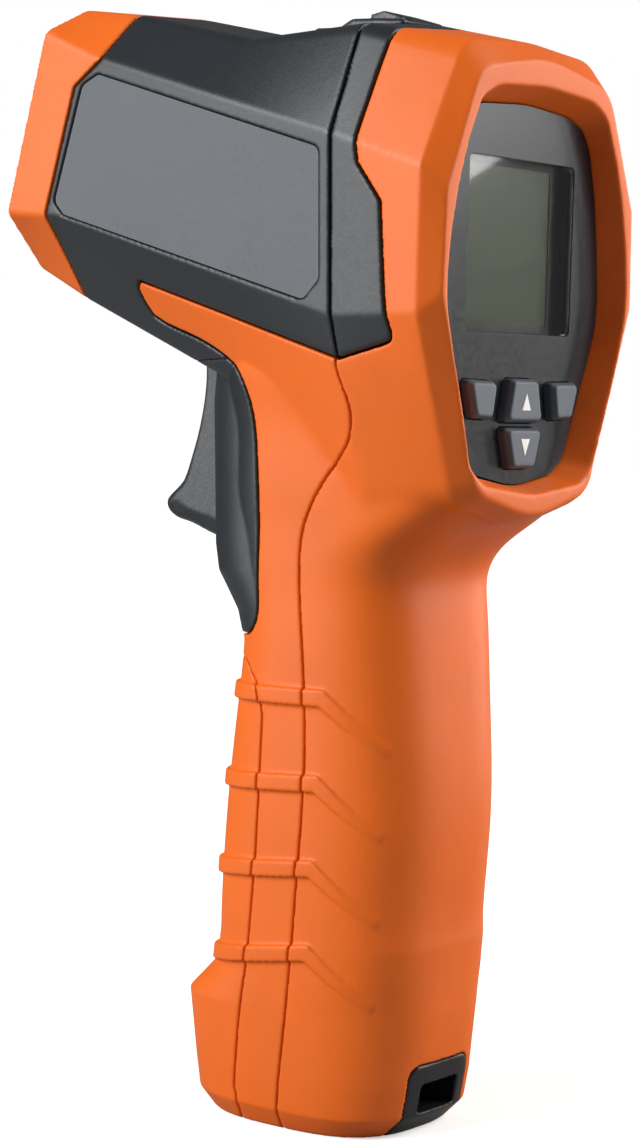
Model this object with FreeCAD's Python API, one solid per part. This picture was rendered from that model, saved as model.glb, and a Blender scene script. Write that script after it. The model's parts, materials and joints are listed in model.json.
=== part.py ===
import FreeCAD, Part
import math
import os

# Pistol-grip infrared thermometer, in millimetres.
# +Z is up and the grip is vertical, so the tool stands on the flat base of its grip.
# The nose points towards -X, the display towards +X, and Y = 0 is the plane of symmetry.
# The origin lies on the base, under the middle of the battery compartment.
# Heights below are measured from a drawing datum a little under the base. Every finished
# piece is lowered by BASE_Z at the end, which puts the base itself on Z = 0.

V = FreeCAD.Vector
ACROSS = V(0, 1, 0)

# ---- Driving dimensions ----
BASE_Z = 4.3               # height of the flat base above the drawing datum
WALL = 2.2                 # moulded housing wall
SEAM_GAP = 0.25            # parting line between two orange housing pieces
TRIM_GAP = 0.4             # wider parting line round the black pieces
BARREL_PITCH = 18.0        # barrel axis above the horizontal, degrees
BARREL_ORIGIN = V(22.8, 0, 151.6)
NOSE_FACE = 70.6           # distance from the barrel origin to the front face
NOSE_HALF_WIDTH = 25.5
SEAM_X = 24.7              # vertical parting plane between front and rear housings
BODY_HALF_WIDTH = 27.4     # at the display end

DISPLAY_LEAN = 2.1         # the display end leans back, degrees
PANEL_X = 41.0             # face of the control panel
LEAN_Z = 138.0             # height at which the leaning planes are at their stated X
HOOD_BEVEL_X = 41.7
HOOD_LIP_X = 45.2

WINDOW_HALF_WIDTH = 14.2
WINDOW_BOTTOM = 135.0
WINDOW_TOP = 162.2
KEY_PROUD = 2.1
KEY_TRAVEL = 0.8
KEY_GAP = 0.2
KEY_FLANGE = 0.3           # how far a key spreads behind the panel

LENS_T = -2.0              # optical axis, measured across the barrel from its origin
APERTURE_RADIUS = 10.0
LASER_RADIUS = 3.0
LASER_OFFSETS = (14.2, -19.0)

GRIP_HALF_WIDTH = 18.0
RIB_PITCH = 13.9
RIB_COUNT = 4
RIB_TOP_Z = 76.8
RIB_WIDTH = 2.7
RIB_END_WIDTH = 1.1        # each rib tapers towards the back
RIB_HEIGHT = 0.75

TRIGGER_HALF_WIDTH = 7.0
TRIGGER_PIVOT = V(-12.6, 0, 127.6)
TRIGGER_PIN_RADIUS = 1.5
TRIGGER_PIN_REACH = 10.4   # half of the pin's length, blind in the lugs of the guard
TRIGGER_CLEARANCE = 0.5

DOOR_HINGE = V(-12.5, 0, 7.6)
DOOR_PIN_RADIUS = 1.3
DOOR_HEEL_RADIUS = 8.3     # the foot of the door seam is an arc about the hinge
RUNNING_CLEARANCE = 0.05

BATTERY_SIZE = (17.5, 26.5, 48.5)
BATTERY_X = -5.4
BATTERY_Z = 13.6

SOCKET_X = 24.3            # thermocouple socket in the base
SOCKET_Z = 10.7
SOCKET_WIDTH = 9.8
SOCKET_HEIGHT = 5.0
SOCKET_DEPTH = 9.0

NOSE_LIP_DEPTH = 3.4       # thickness of the nose ring's front lip
NOSE_LIP_WIDTH = 4.2

LABEL_POCKET = 1.1         # depth of the label recess
LABEL_SINK = 0.35          # label face below its border
LABEL_OUTLINE = [(-27.0, 179.4), (22.3, 163.4), (22.3, 143.0), (18.9, 139.9), (-35.6, 156.4),
                 (-37.9, 158.8), (-30.9, 177.9)]
LABEL_CORNER = 1.6         # rounding of the label's corners

SCREW_RADIUS = 1.1
SCREW_HEAD_RADIUS = 2.2
SIDE_SCREW_X = 14.0        # screws under the labels, into ears of the rear shell
SIDE_SCREW_Z = 152.0
SCREW_HEAD_Y = 24.4
EAR_INNER_Y = 20.9
EAR_OUTER_Y = 23.4
EAR_END_X = 37.0
GRIP_SCREW_X = 11.2        # screws at the top of the battery bay
GRIP_SCREW_Y = 9.0
GRIP_SCREW_Z = 72.0
GRIP_BOSS_FRONT = 4.0

ARM_INNER_Y = 5.4          # hinge arms and knuckles of the battery door
ARM_OUTER_Y = 8.3
KNUCKLE_OUTER_Y = 11.0

RAIL_HALF_WIDTH = 8.5      # raised rail on top of the barrel
RAIL_PROFILE = [(4.8, 178.0), (5.1, 183.2), (5.9, 185.6), (10.8, 185.2), (13.5, 186.3), (19.2, 185.8),
                (24.3, 185.0), (24.3, 178.0)]
SIGHT_HALF_WIDTH = 4.5     # rear sight, standing on the rail
SIGHT_PROFILE = [(13.4, 184.0), (14.6, 187.3), (17.0, 187.7), (22.4, 185.9), (24.3, 184.0)]

BOARD_X = 32.6             # middle of the main board
BOARD_POSTS = ((-14.6, 167.0), (14.6, 167.0), (-17.9, 129.6), (17.9, 129.6))
BOARD_POST_RADIUS = 1.9


# ---- General shapes ----
def box(x0, x1, y0, y1, z0, z1):
    return Part.makeBox(x1 - x0, y1 - y0, z1 - z0, V(x0, y0, z0))


def cylinder(start, end, radius):
    axis = end - start
    return Part.makeCylinder(radius, axis.Length, start, axis)


def across_cylinder(centre, radius, half_length):
    start = V(centre.x, -half_length, centre.z)
    end = V(centre.x, half_length, centre.z)
    return cylinder(start, end, radius)


def joined(shapes):
    result = shapes[0]
    for shape in shapes[1:]:
        result = result.fuse(shape)
    return result.removeSplitter()


def grouped(shapes):
    return Part.makeCompound(shapes)


def mirrored_pair(shape):
    return [shape, shape.mirror(V(0, 0, 0), ACROSS)]


def rounded_wire(corners, radii):
    """A closed planar wire through the corners, each rounded by an arc of its radius."""
    count = len(corners)
    edges = []
    ends = []
    for index in range(count):
        corner = corners[index]
        inward = (corner - corners[index - 1]).normalize()
        outward = (corners[(index + 1) % count] - corner).normalize()
        half_turn = inward.getAngle(outward) / 2.0
        trim = radii[index] * math.tan(half_turn)
        first = corner - inward * trim
        last = corner + outward * trim
        bisector = (outward - inward).normalize()
        rise = radii[index] / math.cos(half_turn) - radii[index]
        ends.append((first, corner + bisector * rise, last))
    for index in range(count):
        first, middle, last = ends[index]
        next_first = ends[(index + 1) % count][0]
        edges.append(Part.Arc(first, middle, last).toShape())
        edges.append(Part.LineSegment(last, next_first).toShape())
    return Part.Wire(edges)


def polygon_wire(corners):
    return Part.makePolygon(list(corners) + [corners[0]])


def side_prism(outline, y0, y1):
    """Side-view outline of (x, z) points, carried across from y0 to y1."""
    face = Part.Face(polygon_wire([V(x, y0, z) for x, z in outline]))
    return face.extrude(V(0, y1 - y0, 0))


def rounded_side_prism(outline, radius, y0, y1):
    corners = [V(x, y0, z) for x, z in outline]
    face = Part.Face(rounded_wire(corners, [radius] * len(corners)))
    return face.extrude(V(0, y1 - y0, 0))


def side_region(outline):
    return side_prism(outline, -60, 60)


def side_ribbon(path, width):
    """A strip of constant width along a side-view path, carried across the whole body."""
    pieces = []
    for (x0, z0), (x1, z1) in zip(path, path[1:]):
        start = V(x0, -60, z0)
        along = V(x1 - x0, 0, z1 - z0)
        offset = along.cross(ACROSS).normalize() * (width / 2.0)
        corners = [start + offset, start + along + offset, start + along - offset, start - offset]
        pieces.append(Part.Face(polygon_wire(corners)).extrude(V(0, 120, 0)))
        pieces.append(Part.makeCylinder(width / 2.0, 120, start + along, ACROSS))
    return joined(pieces)


def beside(points, distances):
    """Points moved square to a smooth (x, z) path, each by its own distance."""
    moved = []
    for index, (x, z) in enumerate(points):
        x0, z0 = points[max(index - 1, 0)]
        x1, z1 = points[min(index + 1, len(points) - 1)]
        length = math.hypot(x1 - x0, z1 - z0)
        moved.append((x - (z1 - z0) / length * distances[index], z + (x1 - x0) / length * distances[index]))
    return moved


def smooth_edge(points, y):
    curve = Part.BSplineCurve()
    curve.interpolate([V(x, y, z) for x, z in points])
    return curve.toShape()


def curved_ribbon(path, width):
    """A strip of constant width along a smooth side-view path, carried across the whole body."""
    one_side = beside(path, [width / 2.0] * len(path))
    other_side = beside(path, [-width / 2.0] * len(path))
    edges = [smooth_edge(one_side, -60), smooth_edge(other_side, -60)]
    for end in (0, -1):
        (x0, z0), (x1, z1) = one_side[end], other_side[end]
        edges.append(Part.LineSegment(V(x0, -60, z0), V(x1, -60, z1)).toShape())
    face = Part.Face(Part.Wire(Part.__sortEdges__(edges)))
    return face.extrude(V(0, 120, 0))


def rounded_path(path, radius):
    """The same open path with each inner corner replaced by points on an arc."""
    result = [path[0]]
    for before, corner, after in zip(path, path[1:], path[2:]):
        inward = V(corner[0] - before[0], 0, corner[1] - before[1])
        outward = V(after[0] - corner[0], 0, after[1] - corner[1])
        half_turn = inward.getAngle(outward) / 2.0
        trim = min(radius * math.tan(half_turn), 0.45 * inward.Length, 0.45 * outward.Length)
        first = V(corner[0], 0, corner[1]) - inward.normalize() * trim
        last = V(corner[0], 0, corner[1]) + outward.normalize() * trim
        for share in (0.0, 0.25, 0.5, 0.75, 1.0):
            point = (first * (1 - share) ** 2 + V(corner[0], 0, corner[1]) * (2 * share * (1 - share))
                     + last * share ** 2)
            result.append((point.x, point.z))
    result.append(path[-1])
    return result


def rear_prism(outline, x0, x1):
    """Rear-view outline of (y, z) points, carried from x0 to x1."""
    face = Part.Face(polygon_wire([V(x0, y, z) for y, z in outline]))
    return face.extrude(V(x1 - x0, 0, 0))


def rounded_rear_prism(outline, radii, x0, x1):
    face = Part.Face(rounded_wire([V(x0, y, z) for y, z in outline], radii))
    return face.extrude(V(x1 - x0, 0, 0))


def symmetric(half):
    """Full rear-view outline from its right half, listed from the top down."""
    return list(half) + [(-y, z) for y, z in reversed(half) if y > 0]


def inset_outline(outline, distance):
    """Moves every side of a clockwise (y, z) outline inwards and meets them again."""
    count = len(outline)
    lines = []
    for index in range(count):
        y0, z0 = outline[index]
        y1, z1 = outline[(index + 1) % count]
        length = math.hypot(y1 - y0, z1 - z0)
        ny = (z1 - z0) / length
        nz = -(y1 - y0) / length
        lines.append((y0 + ny * distance, z0 + nz * distance, y1 - y0, z1 - z0))
    corners = []
    for index in range(count):
        ay, az, bv, bw = lines[index - 1]
        cy, cz, dv, dw = lines[index]
        across = bv * dw - bw * dv
        share = ((cy - ay) * dw - (cz - az) * dv) / across
        corners.append((ay + share * bv, az + share * bw))
    return corners


# ---- Barrel frame: s runs forward along the barrel, t across it, y sideways ----
PITCH = math.radians(BARREL_PITCH)
ALONG = V(-math.cos(PITCH), 0, math.sin(PITCH))
RISE = V(math.sin(PITCH), 0, math.cos(PITCH))


def barrel_point(s, t, y):
    return BARREL_ORIGIN + ALONG * s + RISE * t + ACROSS * y


def barrel_cylinder(s0, s1, t, radius, y=0.0):
    return cylinder(barrel_point(s0, t, y), barrel_point(s1, t, y), radius)


def barrel_tube(s0, s1, t, outer, inner):
    return barrel_cylinder(s0, s1, t, outer).cut(barrel_cylinder(s0 - 1, s1 + 1, t, inner))


def barrel_slab(s0, s1):
    corners = [barrel_point(s0, t, -60) for t in (-70, 70)]
    corners += [barrel_point(s1, t, -60) for t in (70, -70)]
    return Part.Face(polygon_wire(corners)).extrude(V(0, 120, 0))


def leaning(shape):
    """Turns a piece drawn upright at the display end so that it leans back with it."""
    result = shape.copy()
    result.rotate(V(PANEL_X, 0, LEAN_Z), ACROSS, DISPLAY_LEAN)
    return result


# ---- Outer form of the barrel and hood ----
# Right half of each section: top centre, top corner, upper crease, lower crease,
# bottom corner, bottom centre. The first two are (y, t) across the barrel, the others (y, z).
NOSE_SECTION = [(0, 20.9), (17, 19.8), (25.5, 15.1), (25.5, -16.6), (14.5, -26.0), (0, -27.0)]
RING_SECTION = [(0, 22.9), (17, 21.6), (25.7, 13.5), (25.7, -14.0), (14.5, -28.0), (0, -29.1)]
MIDDLE_SECTION = [(0, 185.0), (18, 183.3), (26.6, 173.2), (26.6, 145.1), (17, 125.5), (0, 123.5)]
SEAM_SECTION = [(0, 185.2), (19.5, 183.0), (27.2, 165.2), (27.2, 137.5), (18.6, 107), (0, 104.5)]
BEVEL_SECTION = [(0, 180.3), (17.6, 179.1), (27.5, 159), (27.5, 137.2), (17.3, 108.4), (0, 104.2)]
LIP_SECTION = [(0, 177.8), (17.6, 174.4), (25.2, 155.5), (25.6, 140.2), (15.3, 110.0), (0, 105.8)]
NOSE_CORNERS = (16, 3, 2, 2, 3, 12)      # rounding of the six corners above, in the same order
MIDDLE_CORNERS = (16, 4, 2, 2, 4, 12)
HOOD_CORNERS = (30, 7, 3, 4, 6, 20)
RING_S = 58.5
MIDDLE_X = 0.0
INNER_HOOD_X = 38.9        # inside face of the housing wall around the panel


def inset_section(half, inset):
    outline = symmetric(half)
    if inset > 0:
        outline = inset_outline(outline, inset)
    return outline


def section_radii(half_radii, inset):
    """Radii for a whole section from those of its right half."""
    radii = list(half_radii) + list(reversed(half_radii[1:-1]))
    return [max(radius - inset, 0.6) for radius in radii]


def barrel_section(half, half_radii, s, inset):
    corners = [barrel_point(s, t, y) for y, t in inset_section(half, inset)]
    return rounded_wire(corners, section_radii(half_radii, inset))


def upright_section(half, half_radii, x, inset):
    corners = [V(x, y, z) for y, z in inset_section(half, inset)]
    return rounded_wire(corners, section_radii(half_radii, inset))


def barrel_form(inset):
    """The faceted barrel and display hood, shrunk all round by the inset."""
    sections = [barrel_section(NOSE_SECTION, NOSE_CORNERS, NOSE_FACE, inset),
                barrel_section(RING_SECTION, NOSE_CORNERS, RING_S, inset),
                upright_section(MIDDLE_SECTION, MIDDLE_CORNERS, MIDDLE_X, inset),
                upright_section(SEAM_SECTION, MIDDLE_CORNERS, SEAM_X, inset)]
    if inset < 1.5:
        sections.append(leaning(upright_section(BEVEL_SECTION, HOOD_CORNERS, HOOD_BEVEL_X, inset)))
        sections.append(leaning(upright_section(LIP_SECTION, HOOD_CORNERS, HOOD_LIP_X, inset)))
    else:
        sections.append(leaning(upright_section(BEVEL_SECTION, HOOD_CORNERS, INNER_HOOD_X, inset)))
    return Part.makeLoft(sections, True, True)


# ---- Outer form of the grip ----
# Each level: height, front x, rear x, half width, squareness of the outline (2 is an ellipse,
# larger is squarer) and flare (how much wider the rear end is than the middle).
SHAFT_LEVELS = [(36, -14.5, 28.4, 17.8, 2.9, 0), (43, -14.1, 28.6, 17.9, 2.9, 0),
                (50, -13.5, 29.3, 18.0, 2.9, 0), (66, -11.5, 29.8, 18.0, 2.9, 0),
                (84, -8.6, 28.9, 18.0, 2.9, 0), (92, -8.2, 28.2, 18.0, 3.0, 0)]
# The back of the grip sweeps out under the hood and its sides rise into the barrel.
SWEEP_LEVELS = [(97, -8.2, 28.3, 18.1, 3.2, 0), (100.5, -8.2, 30.6, 18.2, 3.5, 0),
                (103.5, -8.2, 34.6, 18.3, 3.9, 0), (106.5, -8.2, 38.9, 18.5, 4.3, 0),
                (109.5, -8.2, 41.6, 18.8, 4.5, 0.1), (113, -8.2, 42.8, 19.1, 4.5, 0.3),
                (122, -8.2, 43.0, 20.2, 4.5, 1.4), (134, -8.2, 43.0, 22.2, 4.5, 2.8)]
FOOT_LEVELS = [(36, -14.5, 28.4, 17.8, 2.9, 0), (30.4, -15.4, 27.9, 17.7, 2.9, 0),
               (24.4, -22.3, 27.5, 17.6, 2.9, 0), (13, -20.9, 26.0, 17.3, 2.9, 0),
               (7.8, -20.1, 24.9, 17.0, 2.9, 0), (BASE_Z + 0.5, -17.6, 21.8, 15.3, 2.9, 0),
               (BASE_Z, -16.9, 21.1, 14.8, 2.9, 0)]
# Inner forms of the same places, drawn as outer ones and then inset by the wall.
INNER_TOP_LEVELS = [(98, -8.2, 27.8, 18.0, 2.9, 0), (110, -8.2, 28.6, 18.4, 2.9, 0),
                    (122, -8.2, 30.0, 19.6, 2.9, 1.5), (134, -8.2, 31.0, 21.8, 2.9, 2.6)]
INNER_SWEEP_LEVELS = [(90, 0.0, 25.6, 15.6, 2.9, 0), (96, 0.0, 26.9, 16.0, 2.9, 0),
                      (100, 0.0, 29.8, 16.6, 2.9, 0), (103.5, 0.0, 34.4, 17.2, 2.9, 0),
                      (107, 0.0, 38.8, 17.6, 2.9, 0)]
OUTLINE_POINTS = 36


def grip_outline(level, inset=0.0, swell=0.0):
    """Closed outline of one level; a swell stands proud of the front and sides and fades to the rear."""
    z, front, rear, half_width, squareness, flare = level
    centre = (front + rear) / 2.0
    half_length = (rear - front) / 2.0 - inset
    points = []
    for index in range(OUTLINE_POINTS):
        angle = 2.0 * math.pi * index / OUTLINE_POINTS
        cosine = math.cos(angle)
        sine = math.sin(angle)
        reach = (abs(cosine) ** squareness + abs(sine) ** squareness) ** (-1.0 / squareness)
        lengthwise = reach * cosine
        raised = swell * (1.0 - ((1.0 + lengthwise) / 2.0) ** 4)
        half = half_width + flare * lengthwise - inset + raised
        x = centre + half_length * lengthwise - raised * max(-lengthwise, 0.0)
        points.append(V(x, half * reach * sine, z))
    curve = Part.BSplineCurve()
    curve.interpolate(Points=points, PeriodicFlag=True)
    return Part.Wire([curve.toShape()])


def lifted(level, rise):
    return (level[0] + rise,) + tuple(level[1:])


def outer_grip_forms():
    """The outside of the grip in three overlapping lengths: sweep under the hood, shaft and foot."""
    sweep = [grip_outline(level) for level in SHAFT_LEVELS[-1:] + SWEEP_LEVELS]
    shaft = [grip_outline(level) for level in SHAFT_LEVELS]
    foot = [grip_outline(level) for level in FOOT_LEVELS]
    return [Part.makeLoft(sweep, True, False), Part.makeLoft(shaft, True, False),
            Part.makeLoft(foot, True, True)]


def grip_form(inset):
    """The inside of the grip, shrunk all round by the inset."""
    shaft = [grip_outline(level, inset) for level in SHAFT_LEVELS[:-1] + INNER_TOP_LEVELS]
    foot = [grip_outline(level, inset) for level in FOOT_LEVELS[:-3]]
    floor_level = (BASE_Z + inset,) + tuple(FOOT_LEVELS[-2][1:])
    foot.append(grip_outline(floor_level, inset))
    sweep = [grip_outline(lifted(level, inset), inset) for level in INNER_SWEEP_LEVELS]
    return Part.makeLoft(shaft, True, False).fuse([Part.makeLoft(foot, True, True),
                                                   Part.makeLoft(sweep, True, False)])


# ---- Front strip around the trigger ----
# Each level: height and front x; the strip is rounded in front and runs back into the grip.
STRIP_LEVELS = [(132.5, -15.4), (125, -16.4), (101, -16.1), (96.5, -15.3), (90, -10.4), (85.8, -9.1)]
STRIP_REAR_X = 18.0
STRIP_HALF_WIDTH = 17.2


def strip_form(inset):
    sections = []
    for z, front in STRIP_LEVELS:
        level = (z, front, STRIP_REAR_X, STRIP_HALF_WIDTH, 2.5, 0)
        sections.append(grip_outline(level, inset))
    return Part.makeLoft(sections, True, True)


# ---- Raised grip ribs ----
def rib_outlines():
    """Side-view outline of each rib: level round the front, then down towards the back, tapering."""
    outlines = []
    half = RIB_WIDTH / 2.0
    end_half = RIB_END_WIDTH / 2.0
    for index in range(RIB_COUNT):
        z = RIB_TOP_Z - index * RIB_PITCH
        bend = 15.4 - index * 1.1
        front_z = z - 0.045 * index * (bend + 24)
        end_x = bend + 10.6
        end_z = z - 8.3
        outlines.append([(-24, front_z + half), (bend + 0.4, z + half), (end_x + 0.3, end_z + end_half),
                         (end_x - 0.3, end_z - end_half), (bend - 0.4, z - half), (-24, front_z - half)])
    return outlines


def grip_ribs():
    """Raised ribs, cut from a sleeve that stands proud of the front and sides of the grip."""
    shaft = Part.makeLoft([grip_outline(level, 0.0, RIB_HEIGHT) for level in SHAFT_LEVELS], True, False)
    foot = Part.makeLoft([grip_outline(level, 0.0, RIB_HEIGHT) for level in FOOT_LEVELS[:3]], True, True)
    ribs = []
    for outline in rib_outlines():
        region = side_region(outline)
        ribs.append(shaft.common(region))
        lowest = min(z for x, z in outline)
        if lowest < FOOT_LEVELS[0][0]:      # the lowest rib runs onto the foot
            ribs.append(foot.common(region))
    return ribs


# ---- Parting lines, in side view ----
GRIP_SEAM = [(24.2, 131.0), (24.2, 128.0), (24.9, 125.5), (25.3, 122.9), (24.9, 120.3), (23.3, 117.7),
             (20.6, 115.4), (17.8, 113.0), (15.2, 110.0), (13.0, 106.8), (11.5, 103.3), (10.8, 98.9),
             (10.7, 94.0), (11.0, 88.0), (11.5, 80.0), (11.5, 62.6), (10.3, 50.0), (8.7, 36.0),
             (6.7, 21.6), (4.8, 8.4), (4.3, -2.0)]
DOOR_SEAM = [(-30, 85.0), (-2.6, 82.0), (1.4, 77.8), (2.3, 73.0), (1.7, 61.8), (0.8, 49.2),
             (-1.1, 34.8), (-3.5, 20.0), (-4.7, 10.0)]
TONGUE_TOP = [(SEAM_X, 130.8), (-21.2, 144.9), (-22.3, 143.6), (-21.9, 141.2), (-20.9, 139.2), (-18.2, 137.8)]
GUARD_SEAM = [(-18.2, 137.8), (-13.9, 136.3), (-10.2, 135.0), (-6.7, 133.4), (-3.6, 131.5), (-1.2, 129.3),
              (0.4, 126.6), (1.4, 123.2), (1.9, 119.0), (2.1, 113.4), (2.1, 108.0), (1.8, 102.5),
              (1.3, 97.0), (1.1, 92.0), (0.7, 89.2), (-0.7, 87.2), (-3.0, 86.2)]
GUARD_END = [(-3.0, 86.2), (-30, 86.2)]
BAND = [(SEAM_X, 200), (30.6, 200), (30.6, 180), (30.2, 175.5), (29.6, 164.5), (30.2, 160.2),
        (34.7, 154.2), (35.4, 140.0), (36.2, 133.2), (SEAM_X, 130.8)]
BAND_CORNER = 1.6
RING_EDGE = [(58.0, 60), (58.0, 21.0), (56.0, 13.4), (60.8, 7.7), (61.2, -14.4), (58.5, -26.6), (58.0, -60)]


def ring_edge_xz(shift):
    points = [barrel_point(s + shift, t, 0) for s, t in RING_EDGE]
    return [(point.x, point.z) for point in points]


def door_heel():
    """Foot of the door seam: an arc about the hinge, so that the door swings clear of the base."""
    points = []
    for degrees in (16, 4, -8, -20, -32):
        angle = math.radians(degrees)
        points.append((DOOR_HINGE.x + DOOR_HEEL_RADIUS * math.cos(angle),
                       DOOR_HINGE.z + DOOR_HEEL_RADIUS * math.sin(angle)))
    return points


def guard_region():
    return side_region([(-26, 60), (3.6, 60), (3.6, 131.6), (-26, 131.6)])


def parting_cuts():
    """Thin cuts along every visible parting line."""
    door_front = rounded_path(DOOR_SEAM[:-1], 3.0) + DOOR_SEAM[-1:] + door_heel()
    return [side_ribbon([(SEAM_X, 220), (SEAM_X, 130.0)], TRIM_GAP),
            curved_ribbon(GRIP_SEAM, SEAM_GAP),
            side_ribbon(door_front, SEAM_GAP),
            side_ribbon(TONGUE_TOP, TRIM_GAP),
            curved_ribbon(GUARD_SEAM, TRIM_GAP),
            side_ribbon(GUARD_END, TRIM_GAP),
            side_ribbon(rounded_path(BAND[1:], BAND_CORNER), TRIM_GAP),
            side_ribbon(ring_edge_xz(0), TRIM_GAP)]


# ---- Optical and laser openings, socket and trigger slot ----
def trigger_slot():
    half = TRIGGER_HALF_WIDTH + TRIGGER_CLEARANCE
    outline = [(-40, 100.2), (-3.5, 100.2), (-3.5, 130.0), (-6.0, 134.5), (-23.0, 136.2), (-40, 136)]
    return side_prism(outline, -half, half)


def socket_cavity():
    half = SOCKET_WIDTH / 2.0
    low = SOCKET_Z - SOCKET_HEIGHT / 2.0
    cavity = box(SOCKET_X - SOCKET_DEPTH, SOCKET_X + 8, -half, half, low, low + SOCKET_HEIGHT)
    edges = [edge for edge in cavity.Edges if abs(edge.tangentAt(edge.FirstParameter).x) > 0.9]
    return cavity.makeFillet(0.8, edges)


def insert_region(gap):
    """The rear bottom corner of the grip that the base insert takes up."""
    half = 7.8 - gap
    top = 16.6 - gap
    outline = [(-half, -5), (-half, top), (half, top), (half, -5)]
    return rounded_rear_prism(outline, [0.5, 2.4, 2.4, 0.5], 13.2 + gap, 40)


PANEL_OUTLINE = [(0, 170.9), (12, 170.0), (16.2, 168.4), (18.4, 165.2), (20.3, 157.5), (21.4, 149.4),
                 (22.1, 141.3), (21.7, 136.4), (19.8, 131.2), (15.4, 120.0), (13.4, 115.0),
                 (10.2, 112.6), (0, 110.8)]
RIM_OUTLINE = [(0, 173.6), (13.5, 172.6), (17.0, 170.2), (20.2, 163.0), (22.2, 157.0), (23.8, 150.0),
               (24.5, 143.0), (24.3, 138.4), (22.5, 131.6), (19.6, 122.8), (17.0, 113.6),
               (13.6, 111.2), (0, 109.6)]


WELL_CORNERS = (40, 10, 4, 7, 20, 30, 20, 14, 20, 15, 2.5, 4, 20)   # rounding of both outlines above


def well_radii():
    return list(WELL_CORNERS) + list(reversed(WELL_CORNERS[1:-1]))


def well_wire(half, x):
    return leaning(rounded_wire([V(x, y, z) for y, z in symmetric(half)], well_radii()))


def panel_prism(margin, x0, x1):
    """Slab of the panel's outline, widened by the margin."""
    return rounded_rear_prism(inset_outline(symmetric(PANEL_OUTLINE), -margin), well_radii(), x0, x1)


def hood_well():
    """The space inside the hood, from its rim down to the panel and through the wall."""
    flare = Part.makeLoft([well_wire(PANEL_OUTLINE, PANEL_X - 0.6),
                           well_wire(RIM_OUTLINE, HOOD_LIP_X + 0.3)], True, True)
    return joined([flare, leaning(panel_prism(0, INNER_HOOD_X - 2, PANEL_X))])


# ---- Whole housing, then its pieces ----
def outer_form():
    return barrel_form(0).fuse(outer_grip_forms() + [strip_form(0)] + grip_ribs())


def inner_form():
    barrel = barrel_form(WALL).common(barrel_slab(-60, NOSE_FACE - NOSE_LIP_DEPTH))
    mouth = barrel_form(NOSE_LIP_WIDTH).common(barrel_slab(NOSE_FACE - NOSE_LIP_DEPTH - 1, NOSE_FACE + 2))
    return barrel.fuse([mouth, grip_form(WALL), strip_form(WALL)])


def housing_wall():
    wall = outer_form().cut(inner_form())
    return wall.cut(parting_cuts() + [trigger_slot(), hood_well(), insert_region(0), label_pockets()])


def screw_boss(x, z, y0, y1, radius, side):
    return cylinder(V(x, side * y0, z), V(x, side * y1, z), radius)


def piece_near(wall, point):
    """The one solid of the parted housing wall that lies at the point."""
    probe = Part.Vertex(point)
    return min(wall.Solids, key=lambda solid: solid.distToShape(probe)[0])


def barrel_shell(black_front):
    """Black front half of the barrel, with bosses for the two screws under its labels."""
    shell = black_front.cut(guard_region())
    holes = []
    for side in (-1, 1):
        shell = shell.fuse(screw_boss(SIDE_SCREW_X, SIDE_SCREW_Z, EAR_OUTER_Y, 25.7, 3.4, side))
        holes.append(screw_boss(SIDE_SCREW_X, SIDE_SCREW_Z, SCREW_HEAD_Y, 30, SCREW_HEAD_RADIUS + 0.1, side))
        holes.append(screw_boss(SIDE_SCREW_X, SIDE_SCREW_Z, 15, 30, SCREW_RADIUS + 0.1, side))
    return shell.cut(holes)


def trigger_guard(black_front):
    """Black strip down the front of the grip; its lugs carry the trigger pin."""
    guard = black_front.common(guard_region())
    inside = TRIGGER_HALF_WIDTH + TRIGGER_CLEARANCE
    lugs = []
    for side in (-1, 1):
        y0, y1 = sorted((side * inside, side * 13.2))
        lugs.append(box(TRIGGER_PIVOT.x - 3.6, TRIGGER_PIVOT.x + 5.0, y0, y1, 123.5, 131.2))
    guard = guard.fuse([lug.common(strip_form(0.8)) for lug in lugs])
    return guard.cut(across_cylinder(TRIGGER_PIVOT, TRIGGER_PIN_RADIUS, TRIGGER_PIN_REACH + 0.2))


def front_grip_shell(grip_front):
    """Orange front of the grip around the battery door, with the arms of the door hinge."""
    arms = []
    for side in (-1, 1):
        y0, y1 = sorted((side * ARM_INNER_Y, side * ARM_OUTER_Y))
        reach = box(DOOR_HINGE.x, -1.4, y0, y1, DOOR_HINGE.z - 1.9, DOOR_HINGE.z + 1.9)
        foot = box(-3.7, -1.4, y0, y1, BASE_Z + 1.2, DOOR_HINGE.z)
        eye = cylinder(V(DOOR_HINGE.x, y0, DOOR_HINGE.z), V(DOOR_HINGE.x, y1, DOOR_HINGE.z), 2.2)
        arms += [reach, foot, eye]
    shell = grip_front.fuse(arms + grip_screw_bosses(GRIP_BOSS_FRONT, GRIP_SCREW_X))
    hinge = across_cylinder(DOOR_HINGE, DOOR_PIN_RADIUS, KNUCKLE_OUTER_Y + 0.3)
    return shell.cut([hinge] + grip_screw_holes())


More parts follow.
